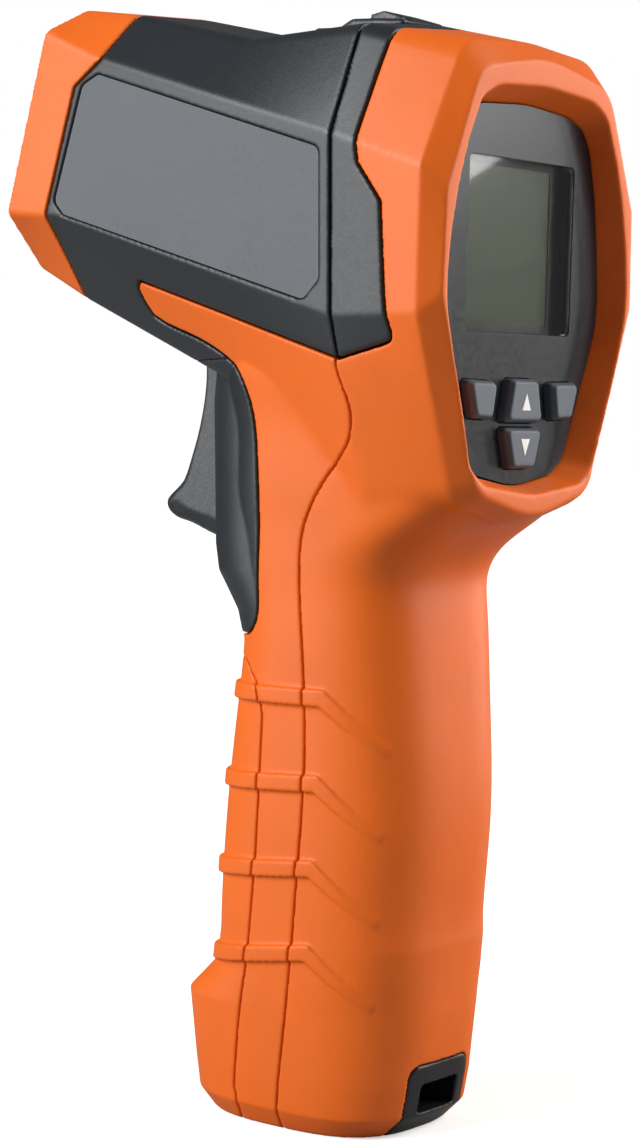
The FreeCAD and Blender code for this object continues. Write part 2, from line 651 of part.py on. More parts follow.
def battery_door(door_wall):
    """Front of the grip, hinged at the bottom; slots in its lower edge pass the hinge arms."""
    knuckles = []
    slots = []
    for side in (-1, 1):
        y0, y1 = sorted((side * (ARM_OUTER_Y + 0.3), side * KNUCKLE_OUTER_Y))
        knuckles.append(cylinder(V(DOOR_HINGE.x, y0, DOOR_HINGE.z), V(DOOR_HINGE.x, y1, DOOR_HINGE.z), 2.5))
        knuckles.append(box(DOOR_HINGE.x - 6.5, DOOR_HINGE.x + 1.6, y0, y1, BASE_Z + 1.2, DOOR_HINGE.z))
        y0, y1 = sorted((side * (ARM_INNER_Y - 0.3), side * (ARM_OUTER_Y + 0.3)))
        slots.append(box(DOOR_HINGE.x - 2.8, 0, y0, y1, 0, DOOR_HINGE.z + 3.0))
    inside = grip_form(0.8)
    door = door_wall.cut(slots).fuse([knuckle.common(inside) for knuckle in knuckles])
    finger_bump = box(-9.6, -6.4, -5, 5, 76.5, 80.4).common(grip_form(1.4))
    door = door.fuse(finger_bump)
    return door.cut(across_cylinder(DOOR_HINGE, DOOR_PIN_RADIUS + RUNNING_CLEARANCE, KNUCKLE_OUTER_Y + 0.3))


def door_hinge_pins():
    pin = cylinder(V(DOOR_HINGE.x, ARM_INNER_Y - 0.4, DOOR_HINGE.z),
                   V(DOOR_HINGE.x, KNUCKLE_OUTER_Y, DOOR_HINGE.z), DOOR_PIN_RADIUS)
    return grouped(mirrored_pair(pin))


def grip_screw_bosses(x0, x1):
    bosses = []
    for y in (-GRIP_SCREW_Y, GRIP_SCREW_Y):
        bosses.append(cylinder(V(x0, y, GRIP_SCREW_Z), V(x1, y, GRIP_SCREW_Z), 3.2))
        outward = math.copysign(8.0, y)
        low_y, high_y = sorted((y, y + outward))
        web = box(min(x0, x1), max(x0, x1), low_y, high_y, GRIP_SCREW_Z - 1, GRIP_SCREW_Z + 1)
        bosses.append(web.common(grip_form(0.8)))
    return bosses


def grip_screw_holes():
    holes = []
    for y in (-GRIP_SCREW_Y, GRIP_SCREW_Y):
        holes.append(cylinder(V(-20, y, GRIP_SCREW_Z), V(26, y, GRIP_SCREW_Z), SCREW_RADIUS + 0.05))
    return holes


def rear_shell(rear_wall):
    """Orange display hood and back of the grip, in one moulding."""
    ears = []
    holes = grip_screw_holes()
    for side in (-1, 1):
        y0, y1 = sorted((side * EAR_INNER_Y, side * EAR_OUTER_Y))
        ears.append(box(SIDE_SCREW_X - 5, EAR_END_X, y0, y1, SIDE_SCREW_Z - 4, SIDE_SCREW_Z + 4))
        y0, y1 = sorted((side * EAR_INNER_Y, side * 25.8))
        ears.append(box(EAR_END_X - 1.4, EAR_END_X, y0, y1, SIDE_SCREW_Z - 4, SIDE_SCREW_Z + 4))
        holes.append(screw_boss(SIDE_SCREW_X, SIDE_SCREW_Z, 10, 30, SCREW_RADIUS + 0.05, side))
    shell = rear_wall.fuse(ears + grip_screw_bosses(GRIP_SCREW_X + 0.1, 26.6))
    return shell.cut(holes)


def housing_screws():
    screws = []
    for side in (-1, 1):
        top = SCREW_HEAD_Y + 1.3
        shank = screw_boss(SIDE_SCREW_X, SIDE_SCREW_Z, EAR_INNER_Y - 0.8, top, SCREW_RADIUS, side)
        head = screw_boss(SIDE_SCREW_X, SIDE_SCREW_Z, SCREW_HEAD_Y, top, SCREW_HEAD_RADIUS, side)
        screws.append(shank.fuse(head))
        y = side * GRIP_SCREW_Y
        shank = cylinder(V(GRIP_BOSS_FRONT - 1.4, y, GRIP_SCREW_Z), V(22, y, GRIP_SCREW_Z), SCREW_RADIUS)
        head = cylinder(V(GRIP_BOSS_FRONT - 1.5, y, GRIP_SCREW_Z), V(GRIP_BOSS_FRONT, y, GRIP_SCREW_Z),
                        SCREW_HEAD_RADIUS)
        screws.append(shank.fuse(head))
    return grouped(screws)


# ---- Trim on the barrel ----
def label_pockets():
    skin = barrel_form(0).cut(barrel_form(LABEL_POCKET))
    return skin.common(rounded_side_prism(LABEL_OUTLINE, LABEL_CORNER, -60, 60))


def label_plates():
    """Left and right label plates, bare, each seated just below its raised border."""
    layer = barrel_form(LABEL_SINK).cut(barrel_form(LABEL_POCKET))
    outline = inset_outline(LABEL_OUTLINE, 0.15)
    left = layer.common(rounded_side_prism(outline, LABEL_CORNER, -60, 0))
    right = layer.common(rounded_side_prism(outline, LABEL_CORNER, 0, 60))
    return left, right


def top_sight():
    """Raised black rail along the top of the barrel, with a small rear sight on it."""
    rail = side_prism(RAIL_PROFILE, -RAIL_HALF_WIDTH, RAIL_HALF_WIDTH)
    long_edges = [edge for edge in rail.Edges
                  if abs(abs(edge.CenterOfMass.y) - RAIL_HALF_WIDTH) < 0.01 and edge.CenterOfMass.z > 184.6]
    rail = rail.makeChamfer(0.5, long_edges)
    sight = side_prism(SIGHT_PROFILE, -SIGHT_HALF_WIDTH, SIGHT_HALF_WIDTH)
    return joined([rail, sight]).cut(barrel_form(0))


# ---- Nose and optics ----
def front_plate():
    """Black plate behind the nose lip, with the sensor aperture and two laser holes."""
    back = NOSE_FACE - NOSE_LIP_DEPTH - 3.0
    plate = barrel_form(WALL + 0.15).common(barrel_slab(back, NOSE_FACE - NOSE_LIP_DEPTH - 0.1))
    holes = [barrel_cylinder(50, 80, LENS_T, APERTURE_RADIUS)]
    cone_foot = barrel_point(back + 0.9, LENS_T, 0)
    holes.append(Part.makeCone(APERTURE_RADIUS, APERTURE_RADIUS + 2.5, 2.5, cone_foot, ALONG))
    for t in LASER_OFFSETS:
        holes.append(barrel_cylinder(50, 80, t, 1.6))
    return plate.cut(holes)


def lens():
    """Thin convex infrared lens."""
    ball_radius = 24.0
    rim_s = 61.4
    ball = Part.makeSphere(ball_radius, barrel_point(rim_s + 1.9 - ball_radius, LENS_T, 0))
    return barrel_cylinder(rim_s - 0.9, rim_s + 3, LENS_T, APERTURE_RADIUS + 0.9).common(ball)


def lens_retainer():
    return barrel_tube(58.7, 60.4, LENS_T, APERTURE_RADIUS + 0.9, APERTURE_RADIUS - 1.0)


def optic_tube():
    """Tube between the lens and the thermopile, stepped down to the sensor at its rear."""
    outer = barrel_cylinder(40, NOSE_FACE - NOSE_LIP_DEPTH - 3.1, LENS_T, APERTURE_RADIUS + 2.4)
    front = barrel_cylinder(58.6, 70, LENS_T, APERTURE_RADIUS + 1.0)
    middle = Part.makeCone(5.2, APERTURE_RADIUS - 0.6, 58.6 - 43.0, barrel_point(43.0, LENS_T, 0), ALONG)
    rear = barrel_cylinder(39, 43.2, LENS_T, 4.75)
    return outer.cut([front, middle, rear])


def thermopile_sensor():
    can = barrel_cylinder(38.8, 42.6, LENS_T, 4.1)
    flange = barrel_cylinder(38.2, 38.9, LENS_T, 4.65)
    pins = []
    for y in (-1.8, 1.8):
        for t in (LENS_T - 1.8, LENS_T + 1.8):
            pins.append(barrel_cylinder(35.0, 38.3, t, 0.25, y))
    return joined([can, flange] + pins)


def sensor_board():
    board = barrel_slab(36.0, 37.6).common(barrel_cylinder(30, 45, LENS_T, 12.0))
    holes = []
    for y in (-1.8, 1.8):
        for t in (LENS_T - 1.8, LENS_T + 1.8):
            holes.append(barrel_cylinder(30, 45, t, 0.3, y))
    return board.cut(holes)


def sensor_spacers():
    spacers = []
    for y in (-9.5, 9.5):
        spacers.append(barrel_cylinder(37.6, 40.0, LENS_T, 1.6, y))
    return grouped(spacers)


def laser_modules():
    modules = []
    for t in LASER_OFFSETS:
        barrel = barrel_cylinder(48, 63.3, t, LASER_RADIUS)
        modules.append(barrel.cut(barrel_cylinder(61.5, 64, t, 1.4)))
    return modules


def optics_bracket():
    """Plate across the barrel that holds the optic tube and both laser modules."""
    plate = barrel_form(WALL + 0.1).common(barrel_slab(50.5, 53.0))
    holes = [barrel_cylinder(45, 60, LENS_T, APERTURE_RADIUS + 2.45)]
    for t in LASER_OFFSETS:
        holes.append(barrel_cylinder(45, 60, t, LASER_RADIUS + 0.05))
    for side in (-1, 1):
        holes.append(barrel_cylinder(45, 60, 2, 3.0, side * 18))
    return plate.cut(holes)


# ---- Display end: drawn upright, then leaned back together ----
def key_outlines():
    mode = [(-14.9, 127.6), (-7.5, 127.4), (-8.5, 121.4), (-13.1, 121.6)]
    mirrored = [(-y, z) for y, z in reversed(mode)]
    up = [(-3.4, 127.9), (3.4, 127.9), (4.9, 121.0), (-4.9, 121.0)]
    down = [(-4.9, 120.2), (4.9, 120.2), (3.0, 113.7), (-3.0, 113.7)]
    return {"key_mode": mode, "key_set": mirrored, "key_up": up, "key_down": down}


def key_cap(outline):
    """Cap with a flange behind the panel and a stem down to its rubber dome."""
    radii = [0.7] * 4
    foot = PANEL_X - 2.0
    top = PANEL_X + KEY_PROUD
    skirt = rounded_rear_prism(outline, radii, foot - 0.1, top - 0.9)
    smaller = inset_outline(outline, 0.5)
    low = rounded_wire([V(top - 0.9, y, z) for y, z in outline], radii)
    high = rounded_wire([V(top, y, z) for y, z in smaller], radii)
    crown = Part.makeLoft([low, high], True, True)
    flange = rounded_rear_prism(inset_outline(outline, -KEY_FLANGE), [1.0] * 4, foot - 0.95, foot - 0.1)
    y, z = key_centre(outline)
    stem = cylinder(V(foot - 2.0, y, z), V(foot - 0.9, y, z), 1.3)
    return leaning(joined([skirt, crown, flange, stem]))


def key_centre(outline):
    y = sum(corner[0] for corner in outline) / 4.0
    z = sum(corner[1] for corner in outline) / 4.0
    return y, z


def window_opening(margin, x0, x1):
    half = WINDOW_HALF_WIDTH + margin
    corners = [(-half, WINDOW_TOP + margin), (half, WINDOW_TOP + margin),
               (half, WINDOW_BOTTOM - margin), (-half, WINDOW_BOTTOM - margin)]
    return rounded_rear_prism(corners, [1.0] * 4, x0, x1)


def control_panel():
    """Black panel around the display and keys; its posts carry the main board."""
    face = panel_prism(-0.12, PANEL_X - 3.1, PANEL_X)
    flange = panel_prism(1.0, PANEL_X - 3.1, PANEL_X - 2.2)
    posts = []
    holes = [window_opening(0.0, 30, 50)]
    for y, z in BOARD_POSTS:
        posts.append(cylinder(V(BOARD_X + 0.8, y, z), V(PANEL_X - 2.5, y, z), BOARD_POST_RADIUS))
        holes.append(cylinder(V(BOARD_X, y, z), V(PANEL_X - 2.6, y, z), 0.85))
    for outline in key_outlines().values():
        holes.append(rounded_rear_prism(inset_outline(outline, -KEY_GAP), [0.8] * 4, 30, 50))
        pocket = inset_outline(outline, -KEY_FLANGE - KEY_GAP)
        holes.append(rounded_rear_prism(pocket, [1.1] * 4, 30, PANEL_X - 2.0))
    return leaning(joined([face, flange] + posts).cut(grouped(holes)))


def display_window():
    return leaning(window_opening(-0.1, PANEL_X - 1.3, PANEL_X - 0.15))


LCD_BACK_X = PANEL_X - 5.0
LCD_FACE_X = PANEL_X - 3.3
CONTACT_STRIP_HEIGHTS = (134.4, 161.8)


def lcd_glass():
    return leaning(box(LCD_BACK_X, LCD_FACE_X, -15.6, 15.6, 133.6, 163.6))


def lcd_frame():
    """White backlight tray around and behind the glass, slotted for the contact strips."""
    tray = box(BOARD_X + 2.4, LCD_FACE_X - 0.1, -17.0, 17.0, 132.4, 164.8)
    cuts = [box(LCD_BACK_X - 0.05, PANEL_X, -15.7, 15.7, 133.5, 163.7)]
    for z in CONTACT_STRIP_HEIGHTS:
        cuts.append(box(BOARD_X, PANEL_X, -14.1, 14.1, z - 0.1, z + 1.3))
    return leaning(tray.cut(cuts))


def contact_strips():
    """Two striped rubber connectors between the board and the glass."""
    strips = []
    for z in CONTACT_STRIP_HEIGHTS:
        strips.append(box(BOARD_X + 0.85, LCD_BACK_X - 0.05, -14, 14, z, z + 1.2))
    return leaning(grouped(strips))


def keypad_mat():
    """Silicone sheet with a dome under each key."""
    shapes = [rear_prism([(-15.5, 129.0), (15.5, 129.0), (13.5, 119.5), (6.5, 111.8), (-6.5, 111.8),
                          (-13.5, 119.5)], BOARD_X + 0.8, BOARD_X + 1.9)]
    for outline in key_outlines().values():
        y, z = key_centre(outline)
        dome_end = PANEL_X - 4.0 - KEY_TRAVEL - 0.1
        shapes.append(Part.makeCone(2.4, 1.5, dome_end - BOARD_X - 1.8, V(BOARD_X + 1.8, y, z), V(1, 0, 0)))
    return leaning(joined(shapes))


def main_board():
    outline = [(0, 172.0), (15.5, 171.0), (20.2, 161.0), (20.2, 128.0), (15.0, 113.4), (0, 112.4)]
    board = rear_prism(symmetric(outline), BOARD_X - 0.8, BOARD_X + 0.8)
    holes = [cylinder(V(BOARD_X - 2, y, z), V(BOARD_X + 2, y, z), 1.05) for y, z in BOARD_POSTS]
    return leaning(board.cut(holes))


def board_components():
    """Processor, memory, amplifier, crystal, regulator and small parts on the board's inner side."""
    face = BOARD_X - 0.8
    sizes = [(-4, 150, 10, 10, 1.4), (9, 152, 5, 6, 1.6), (9, 142, 4, 5, 1.2), (-12, 158, 3, 8, 3.2),
             (-11, 140, 6, 6, 2.0), (2, 136, 3, 2, 1.0), (-5, 132, 4, 3, 1.2), (6, 130, 3, 3, 1.0)]
    parts = []
    for y, z, width, height, depth in sizes:
        parts.append(box(face - depth, face, y - width / 2, y + width / 2, z - height / 2, z + height / 2))
    for index in range(8):
        y = -10.5 + index * 3.0
        parts.append(box(face - 0.6, face, y, y + 1.0, 123.0, 125.0))
    return leaning(grouped(parts))


def buzzer():
    body = cylinder(V(BOARD_X - 5.3, 2, 166), V(BOARD_X - 0.8, 2, 166), 5.0)
    hole = cylinder(V(BOARD_X - 6, 2, 166), V(BOARD_X - 4.6, 2, 166), 0.8)
    return leaning(body.cut(hole))


def board_screws():
    screws = []
    for y, z in BOARD_POSTS:
        head = cylinder(V(BOARD_X - 2.1, y, z), V(BOARD_X - 0.8, y, z), 1.8)
        shank = cylinder(V(BOARD_X - 1.0, y, z), V(BOARD_X + 4.0, y, z), 0.8)
        screws.append(head.fuse(shank))
    return leaning(grouped(screws))


# ---- Trigger ----
TRIGGER_FRONT = [(-20.4, 131.6), (-20.5, 128.6), (-21.2, 124.3), (-22.8, 118.8), (-24.4, 114.8),
                 (-26.3, 111.3), (-28.8, 109.4), (-30.3, 107.6), (-29.7, 105.6), (-26.2, 104.2),
                 (-21.3, 102.5), (-16.1, 100.9)]
# Edge rounding at each point of the front.
TRIGGER_SOFTENING = [0.8, 0.9, 1.0, 1.1, 1.2, 1.4, 1.6, 2.0, 2.6, 3.0, 3.2, 3.3]
TRIGGER_REAR = [(-12.2, 101.4), (-10.8, 108.0), (-10.0, 118.0), (-9.6, 127.0), (-10.2, 130.6),
                (-13.0, 132.9), (-17.6, 133.4)]


def trigger_section(y, share):
    """Side outline of the trigger at one y, drawn in by a share of its edge rounding."""
    front = beside(TRIGGER_FRONT, [softening * share for softening in TRIGGER_SOFTENING])
    corners = [front[-1]] + TRIGGER_REAR + [front[0]]
    edges = [smooth_edge(front, y)]
    for (x0, z0), (x1, z1) in zip(corners, corners[1:]):
        edges.append(Part.LineSegment(V(x0, y, z0), V(x1, y, z1)).toShape())
    return Part.Wire(edges)


def trigger():
    edge = TRIGGER_HALF_WIDTH
    sections = [trigger_section(-edge, 1.0), trigger_section(-edge + 0.7, 0.3),
                trigger_section(-edge + 2.2, 0.0), trigger_section(edge - 2.2, 0.0),
                trigger_section(edge - 0.7, 0.3), trigger_section(edge, 1.0)]
    blade = Part.makeLoft(sections, True, True)
    hollow = side_prism([(-17.5, 106.5), (-12.0, 104.0), (-7.0, 104.0), (-7.0, 116.0), (-14.5, 116.0)], -5, 5)
    return blade.cut([hollow, across_cylinder(TRIGGER_PIVOT, TRIGGER_PIN_RADIUS + RUNNING_CLEARANCE, 20)])


def trigger_pin():
    return across_cylinder(TRIGGER_PIVOT, TRIGGER_PIN_RADIUS, TRIGGER_PIN_REACH)


def trigger_spring():
    """Return spring between the trigger and the switch board."""
    start = V(-9.3, 0, 121.0)
    length = 9.5
    helix = Part.makeHelix(1.8, length, 2.0)
    profile = Part.Wire([Part.makeCircle(0.3, V(2.0, 0, 0), V(0, 1, 0))])
    coil = Part.Wire(helix).makePipeShell([profile], True, False)
    coil.rotate(V(0, 0, 0), ACROSS, 90)
    coil.translate(start + V(0.35, 0, 0))
    return coil


def trigger_switch():
    body = box(-5.2, 0.9, -3.2, 3.2, 108.0, 115.6)
    plunger = box(-7.2, -5.0, -1.2, 1.2, 110.8, 112.8)
    return body.fuse(plunger)


def switch_board():
    board = box(1.0, 2.6, -9.5, 9.5, 101.5, 126.5)
    cup = cylinder(V(-0.4, 0, 121.0), V(1.1, 0, 121.0), 1.5)
    return board.fuse(cup)


# ---- Battery ----
def battery():
    """Nine volt block battery with its two snap terminals."""
    depth, width, height = BATTERY_SIZE
    can = box(BATTERY_X, BATTERY_X + depth, -width / 2, width / 2, BATTERY_Z, BATTERY_Z + height - 2.6)
    edges = [edge for edge in can.Edges if abs(edge.tangentAt(edge.FirstParameter).z) > 0.9]
    can = can.makeFillet(1.6, edges)
    top = BATTERY_Z + height - 2.6
    middle = BATTERY_X + depth / 2
    small = cylinder(V(middle, -6.35, top), V(middle, -6.35, top + 2.6), 2.8)
    large = cylinder(V(middle, 6.35, top), V(middle, 6.35, top + 2.6), 4.0)
    return joined([can, small, large])


def battery_snap():
    depth, width, height = BATTERY_SIZE
    top = BATTERY_Z + height
    middle = BATTERY_X + depth / 2
    return box(middle - 6, middle + 6, -12.6, 12.6, top + 0.05, top + 2.6)


def battery_tray():
    """Open-fronted tray that keeps the battery from rattling."""
    depth, width, height = BATTERY_SIZE
    rear = BATTERY_X + depth + 0.3
    half = width / 2 + 0.3
    back = box(rear, rear + 1.3, -half, half, BATTERY_Z - 1.6, 58)
    floor = box(BATTERY_X + 2, rear + 0.5, -half, half, BATTERY_Z - 1.6, BATTERY_Z - 0.1)
    sides = mirrored_pair(box(0.2, rear + 1.3, half, half + 1.1, BATTERY_Z - 1.6, 52))
    return joined([back, floor] + sides).common(grip_form(WALL + 0.4))


def cable(points, radius, bend):
    """Round lead through the points, with each inner corner rounded."""
    edges = []
    last = points[0]
    for index in range(1, len(points) - 1):
        corner = points[index]
        inward = (corner - points[index - 1]).normalize()
        outward = (points[index + 1] - corner).normalize()
        half_turn = inward.getAngle(outward) / 2.0
        trim = bend * math.tan(half_turn)
        bisector = (outward - inward).normalize()
        middle = corner + bisector * (bend / math.cos(half_turn) - bend)
        edges.append(Part.LineSegment(last, corner - inward * trim).toShape())
        edges.append(Part.Arc(corner - inward * trim, middle, corner + outward * trim).toShape())
        last = corner + outward * trim
    edges.append(Part.LineSegment(last, points[-1]).toShape())
    start_direction = (points[1] - points[0]).normalize()
    profile = Part.Wire([Part.makeCircle(radius, points[0], start_direction)])
    return Part.Wire(edges).makePipeShell([profile], True, False)


def battery_leads():
    leads = []
    top = BATTERY_Z + BATTERY_SIZE[2] + 2.6
    for y in (-4, 4):
        leads.append(cable([V(5, y, top), V(5, y, top + 14), V(20, y, top + 34), V(26, y, 117),
                            V(BOARD_X - 1.6, y, 117)], 0.65, 2.5))
    return grouped(leads)


def sensor_leads():
    leads = []
    for y in (-6, -4, 4, 6):
        start = barrel_point(36.0, LENS_T + 4, y)
        leads.append(cable([start, barrel_point(28, LENS_T + 4, y), barrel_point(6, LENS_T + 12, y),
                            V(BOARD_X - 0.6, y, 157.8)], 0.5, 3.0))
    return grouped(leads)


# ---- Base of the grip ----
def base_insert():
    """Black insert round the thermocouple socket, wrapping under the rear of the base."""
    skin = outer_grip_forms()[2].cut(grip_form(WALL)).common(insert_region(0.15))
    low = SOCKET_Z - SOCKET_HEIGHT / 2.0
    half = SOCKET_WIDTH / 2.0
    body = box(SOCKET_X - SOCKET_DEPTH - 1.2, SOCKET_X - 1.2, -half - 1.2, half + 1.2, low - 1.2,
               low + SOCKET_HEIGHT + 1.2)
    return joined([skin, body.common(grip_form(0.5))]).cut(socket_cavity())


def thermocouple_contacts():
    contacts = []
    for y in (-2.6, 2.6):
        x = SOCKET_X - SOCKET_DEPTH
        contacts.append(box(x - 3.5, x + 3.6, y - 1.1, y + 1.1, SOCKET_Z - 1.5, SOCKET_Z - 0.9))
    return grouped(contacts)


def all_pieces():
    """Every separate piece, by the name a person would use on the bench."""
    wall = housing_wall()
    black_front = piece_near(wall, V(10, 0, 182))
    left_label, right_label = label_plates()
    upper_laser, lower_laser = laser_modules()
    contact_slots = thermocouple_contacts()
    pieces = {
        "nose_ring": piece_near(wall, barrel_point(NOSE_FACE - 2, 0, NOSE_HALF_WIDTH)),
        "barrel_shell": barrel_shell(black_front),
        "trigger_guard": trigger_guard(black_front),
        "front_grip_shell": front_grip_shell(piece_near(wall, V(5, GRIP_HALF_WIDTH, 60))),
        "battery_door": battery_door(piece_near(wall, V(-11, 0, 60))),
        "rear_shell": rear_shell(piece_near(wall, V(29, 0, 60))),
        "rear_band": piece_near(wall, V(28, BODY_HALF_WIDTH, 150)),
        "label_plate_left": left_label,
        "label_plate_right": right_label,
        "top_sight": top_sight(),
        "base_insert": base_insert().cut(contact_slots),
        "thermocouple_contacts": contact_slots,
        "housing_screws": housing_screws(),
        "door_hinge_pins": door_hinge_pins(),
        "front_plate": front_plate(),
        "lens": lens(),
        "lens_retainer": lens_retainer(),
        "optic_tube": optic_tube(),
        "optics_bracket": optics_bracket(),
        "laser_module_upper": upper_laser,
        "laser_module_lower": lower_laser,
        "thermopile_sensor": thermopile_sensor(),
        "sensor_board": sensor_board(),
        "sensor_spacers": sensor_spacers(),
        "sensor_leads": sensor_leads(),
        "control_panel": control_panel(),
        "display_window": display_window(),
        "lcd_glass": lcd_glass(),
        "lcd_frame": lcd_frame(),
        "contact_strips": contact_strips(),
        "keypad_mat": keypad_mat(),
        "main_board": main_board(),
        "board_components": board_components(),
        "board_screws": board_screws(),
        "buzzer": buzzer(),
        "trigger": trigger(),
        "trigger_pin": trigger_pin(),
        "trigger_spring": trigger_spring(),
        "trigger_switch": trigger_switch(),
        "switch_board": switch_board(),
        "battery": battery(),
        "battery_snap": battery_snap(),
        "battery_tray": battery_tray(),
        "battery_leads": battery_leads(),
    }
    for name, outline in key_outlines().items():
        pieces[name] = key_cap(outline)
    return pieces


def main():
    os.makedirs("parts", exist_ok=True)
    for name, shape in all_pieces().items():
        solids = shape.Solids
        print(name, "solids", len(solids), "valid", shape.isValid(), "volume", round(shape.Volume, 1))
        shape.translate(V(0, 0, -BASE_Z))
        shape.exportStep("parts/" + name + ".step")


if __name__ == "__main__":
    main()
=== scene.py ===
import json
import math

import bmesh
import bpy
from mathutils import Matrix, Vector
from mathutils.bvhtree import BVHTree

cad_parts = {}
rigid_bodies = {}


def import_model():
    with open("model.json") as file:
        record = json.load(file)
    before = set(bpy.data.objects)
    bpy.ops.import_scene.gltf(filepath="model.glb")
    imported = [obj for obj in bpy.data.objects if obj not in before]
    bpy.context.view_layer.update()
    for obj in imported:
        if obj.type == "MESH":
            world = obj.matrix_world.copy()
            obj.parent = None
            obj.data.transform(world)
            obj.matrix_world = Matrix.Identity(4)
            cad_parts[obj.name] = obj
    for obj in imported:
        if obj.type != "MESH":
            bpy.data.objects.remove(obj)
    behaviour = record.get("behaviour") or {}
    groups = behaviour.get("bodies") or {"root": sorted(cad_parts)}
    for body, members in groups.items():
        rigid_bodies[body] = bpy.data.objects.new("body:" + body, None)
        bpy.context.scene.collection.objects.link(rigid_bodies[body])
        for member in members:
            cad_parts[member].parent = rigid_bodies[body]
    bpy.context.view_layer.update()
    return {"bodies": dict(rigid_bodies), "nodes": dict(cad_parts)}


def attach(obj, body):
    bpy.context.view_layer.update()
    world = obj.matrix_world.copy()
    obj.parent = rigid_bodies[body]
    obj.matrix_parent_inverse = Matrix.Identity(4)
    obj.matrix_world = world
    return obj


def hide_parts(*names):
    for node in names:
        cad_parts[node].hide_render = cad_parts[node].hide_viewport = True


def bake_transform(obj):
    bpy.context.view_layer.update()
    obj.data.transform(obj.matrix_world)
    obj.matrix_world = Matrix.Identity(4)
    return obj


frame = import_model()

bl_info = {
    "name": "Infrared thermometer",
    "version": (1, 0, 0),
    "blender": (4, 5, 0),
    "location": "3D View > Sidebar > Thermometer",
    "description": "Finishes a pistol-grip infrared thermometer and sets it on a plain stage",
    "category": "Object",
}

MM = 0.001


# ---- Colours and shader nodes ----
def linear(code):
    """An sRGB hex colour, such as 'f07832', as linear red, green, blue and alpha."""
    channels = []
    for start in (0, 2, 4):
        value = int(code[start:start + 2], 16) / 255.0
        channels.append(value / 12.92 if value <= 0.04045 else ((value + 0.055) / 1.055) ** 2.4)
    return (*channels, 1.0)


def add_node(tree, kind, settings=None, inputs=None):
    """Adds a node with its properties set, and each input given a value or linked to a socket."""
    node = tree.nodes.new(kind)
    for name, value in (settings or {}).items():
        setattr(node, name, value)
    for name, value in (inputs or {}).items():
        socket = node.inputs[name]
        if isinstance(value, bpy.types.NodeSocket):
            tree.links.new(value, socket)
        else:
            socket.default_value = value
    return node


def new_material(name):
    """A new material, its empty node tree and its object coordinates."""
    material = bpy.data.materials.new(name)
    material.use_nodes = True
    material.node_tree.nodes.clear()
    tree = material.node_tree
    place = add_node(tree, "ShaderNodeTexCoord").outputs["Object"]
    return material, tree, place


def finish_material(tree, shader):
    add_node(tree, "ShaderNodeOutputMaterial", inputs={"Surface": shader})


def shade(colour, share):
    """The colour made darker, or paler where share is above 1."""
    return [min(1.0, channel * share) for channel in colour[:3]] + [1.0]


# A noise pattern seldom leaves the middle of its range, which is stretched over the whole of another.
MIDDLE = {"From Min": 0.3, "From Max": 0.7}
CLOUD_MM = 14.0         # faint flow clouds in a moulding
HIGHLIGHT_EDGE_MM = 0.5      # how far the painted highlight along an edge reaches
EDGE_RANGE = {"From Min": 0.80, "From Max": 0.97, "To Min": 1.0, "To Max": 0.0}


def moulded_plastic(name, colour, roughness, grain_mm, grain_depth_mm, painted_edge_highlight=1.0, gloss=0.5):
    """Injection-moulded plastic: eroded grain, faint flow clouds, and a painted highlight, paler along the
    edges.
    """
    material, tree, place = new_material(name)
    grain = add_node(tree, "ShaderNodeTexNoise", inputs={
        "Vector": place, "Scale": 1.0 / (grain_mm * MM)}).outputs["Fac"]
    clouds = add_node(tree, "ShaderNodeTexNoise", inputs={
        "Vector": place, "Scale": 1.0 / (CLOUD_MM * MM), "Detail": 3.0}).outputs["Fac"]
    flow = add_node(tree, "ShaderNodeMapRange", inputs={"Value": clouds, **MIDDLE}).outputs["Result"]
    body = add_node(tree, "ShaderNodeMix", {"data_type": "RGBA"},
                    {0: flow, 6: colour, 7: shade(colour, 0.93)}).outputs[2]
    smoothed = {}
    # Painted highlight: near edges, where the rounded normal turns from the true one, the colour is made
    # paler.
    if painted_edge_highlight > 1.0:
        rounded = add_node(tree, "ShaderNodeBevel", {"samples": 4},
                           {"Radius": HIGHLIGHT_EDGE_MM * MM}).outputs["Normal"]
        true = add_node(tree, "ShaderNodeNewGeometry").outputs["Normal"]
        alike = add_node(tree, "ShaderNodeVectorMath", {"operation": "DOT_PRODUCT"},
                         {0: rounded, 1: true}).outputs["Value"]
        edges = add_node(tree, "ShaderNodeMapRange", inputs={"Value": alike, **EDGE_RANGE}).outputs["Result"]
        body = add_node(tree, "ShaderNodeMix", {"data_type": "RGBA"},
                        {0: edges, 6: body, 7: shade(colour, painted_edge_highlight)}).outputs[2]
        smoothed = {"Normal": rounded}
    bump = add_node(tree, "ShaderNodeBump", inputs={
        "Height": grain, "Distance": grain_depth_mm * MM, "Strength": 0.6, **smoothed})
    gloss_change = add_node(tree, "ShaderNodeMapRange", inputs={
        "Value": grain, "To Min": roughness * 0.9, "To Max": roughness * 1.12, **MIDDLE})
    shader = add_node(tree, "ShaderNodeBsdfPrincipled", inputs={
        "Base Color": body, "Roughness": gloss_change.outputs["Result"], "IOR": 1.53,
        "Specular IOR Level": gloss, "Normal": bump.outputs["Normal"]})
    finish_material(tree, shader.outputs["BSDF"])
    return material


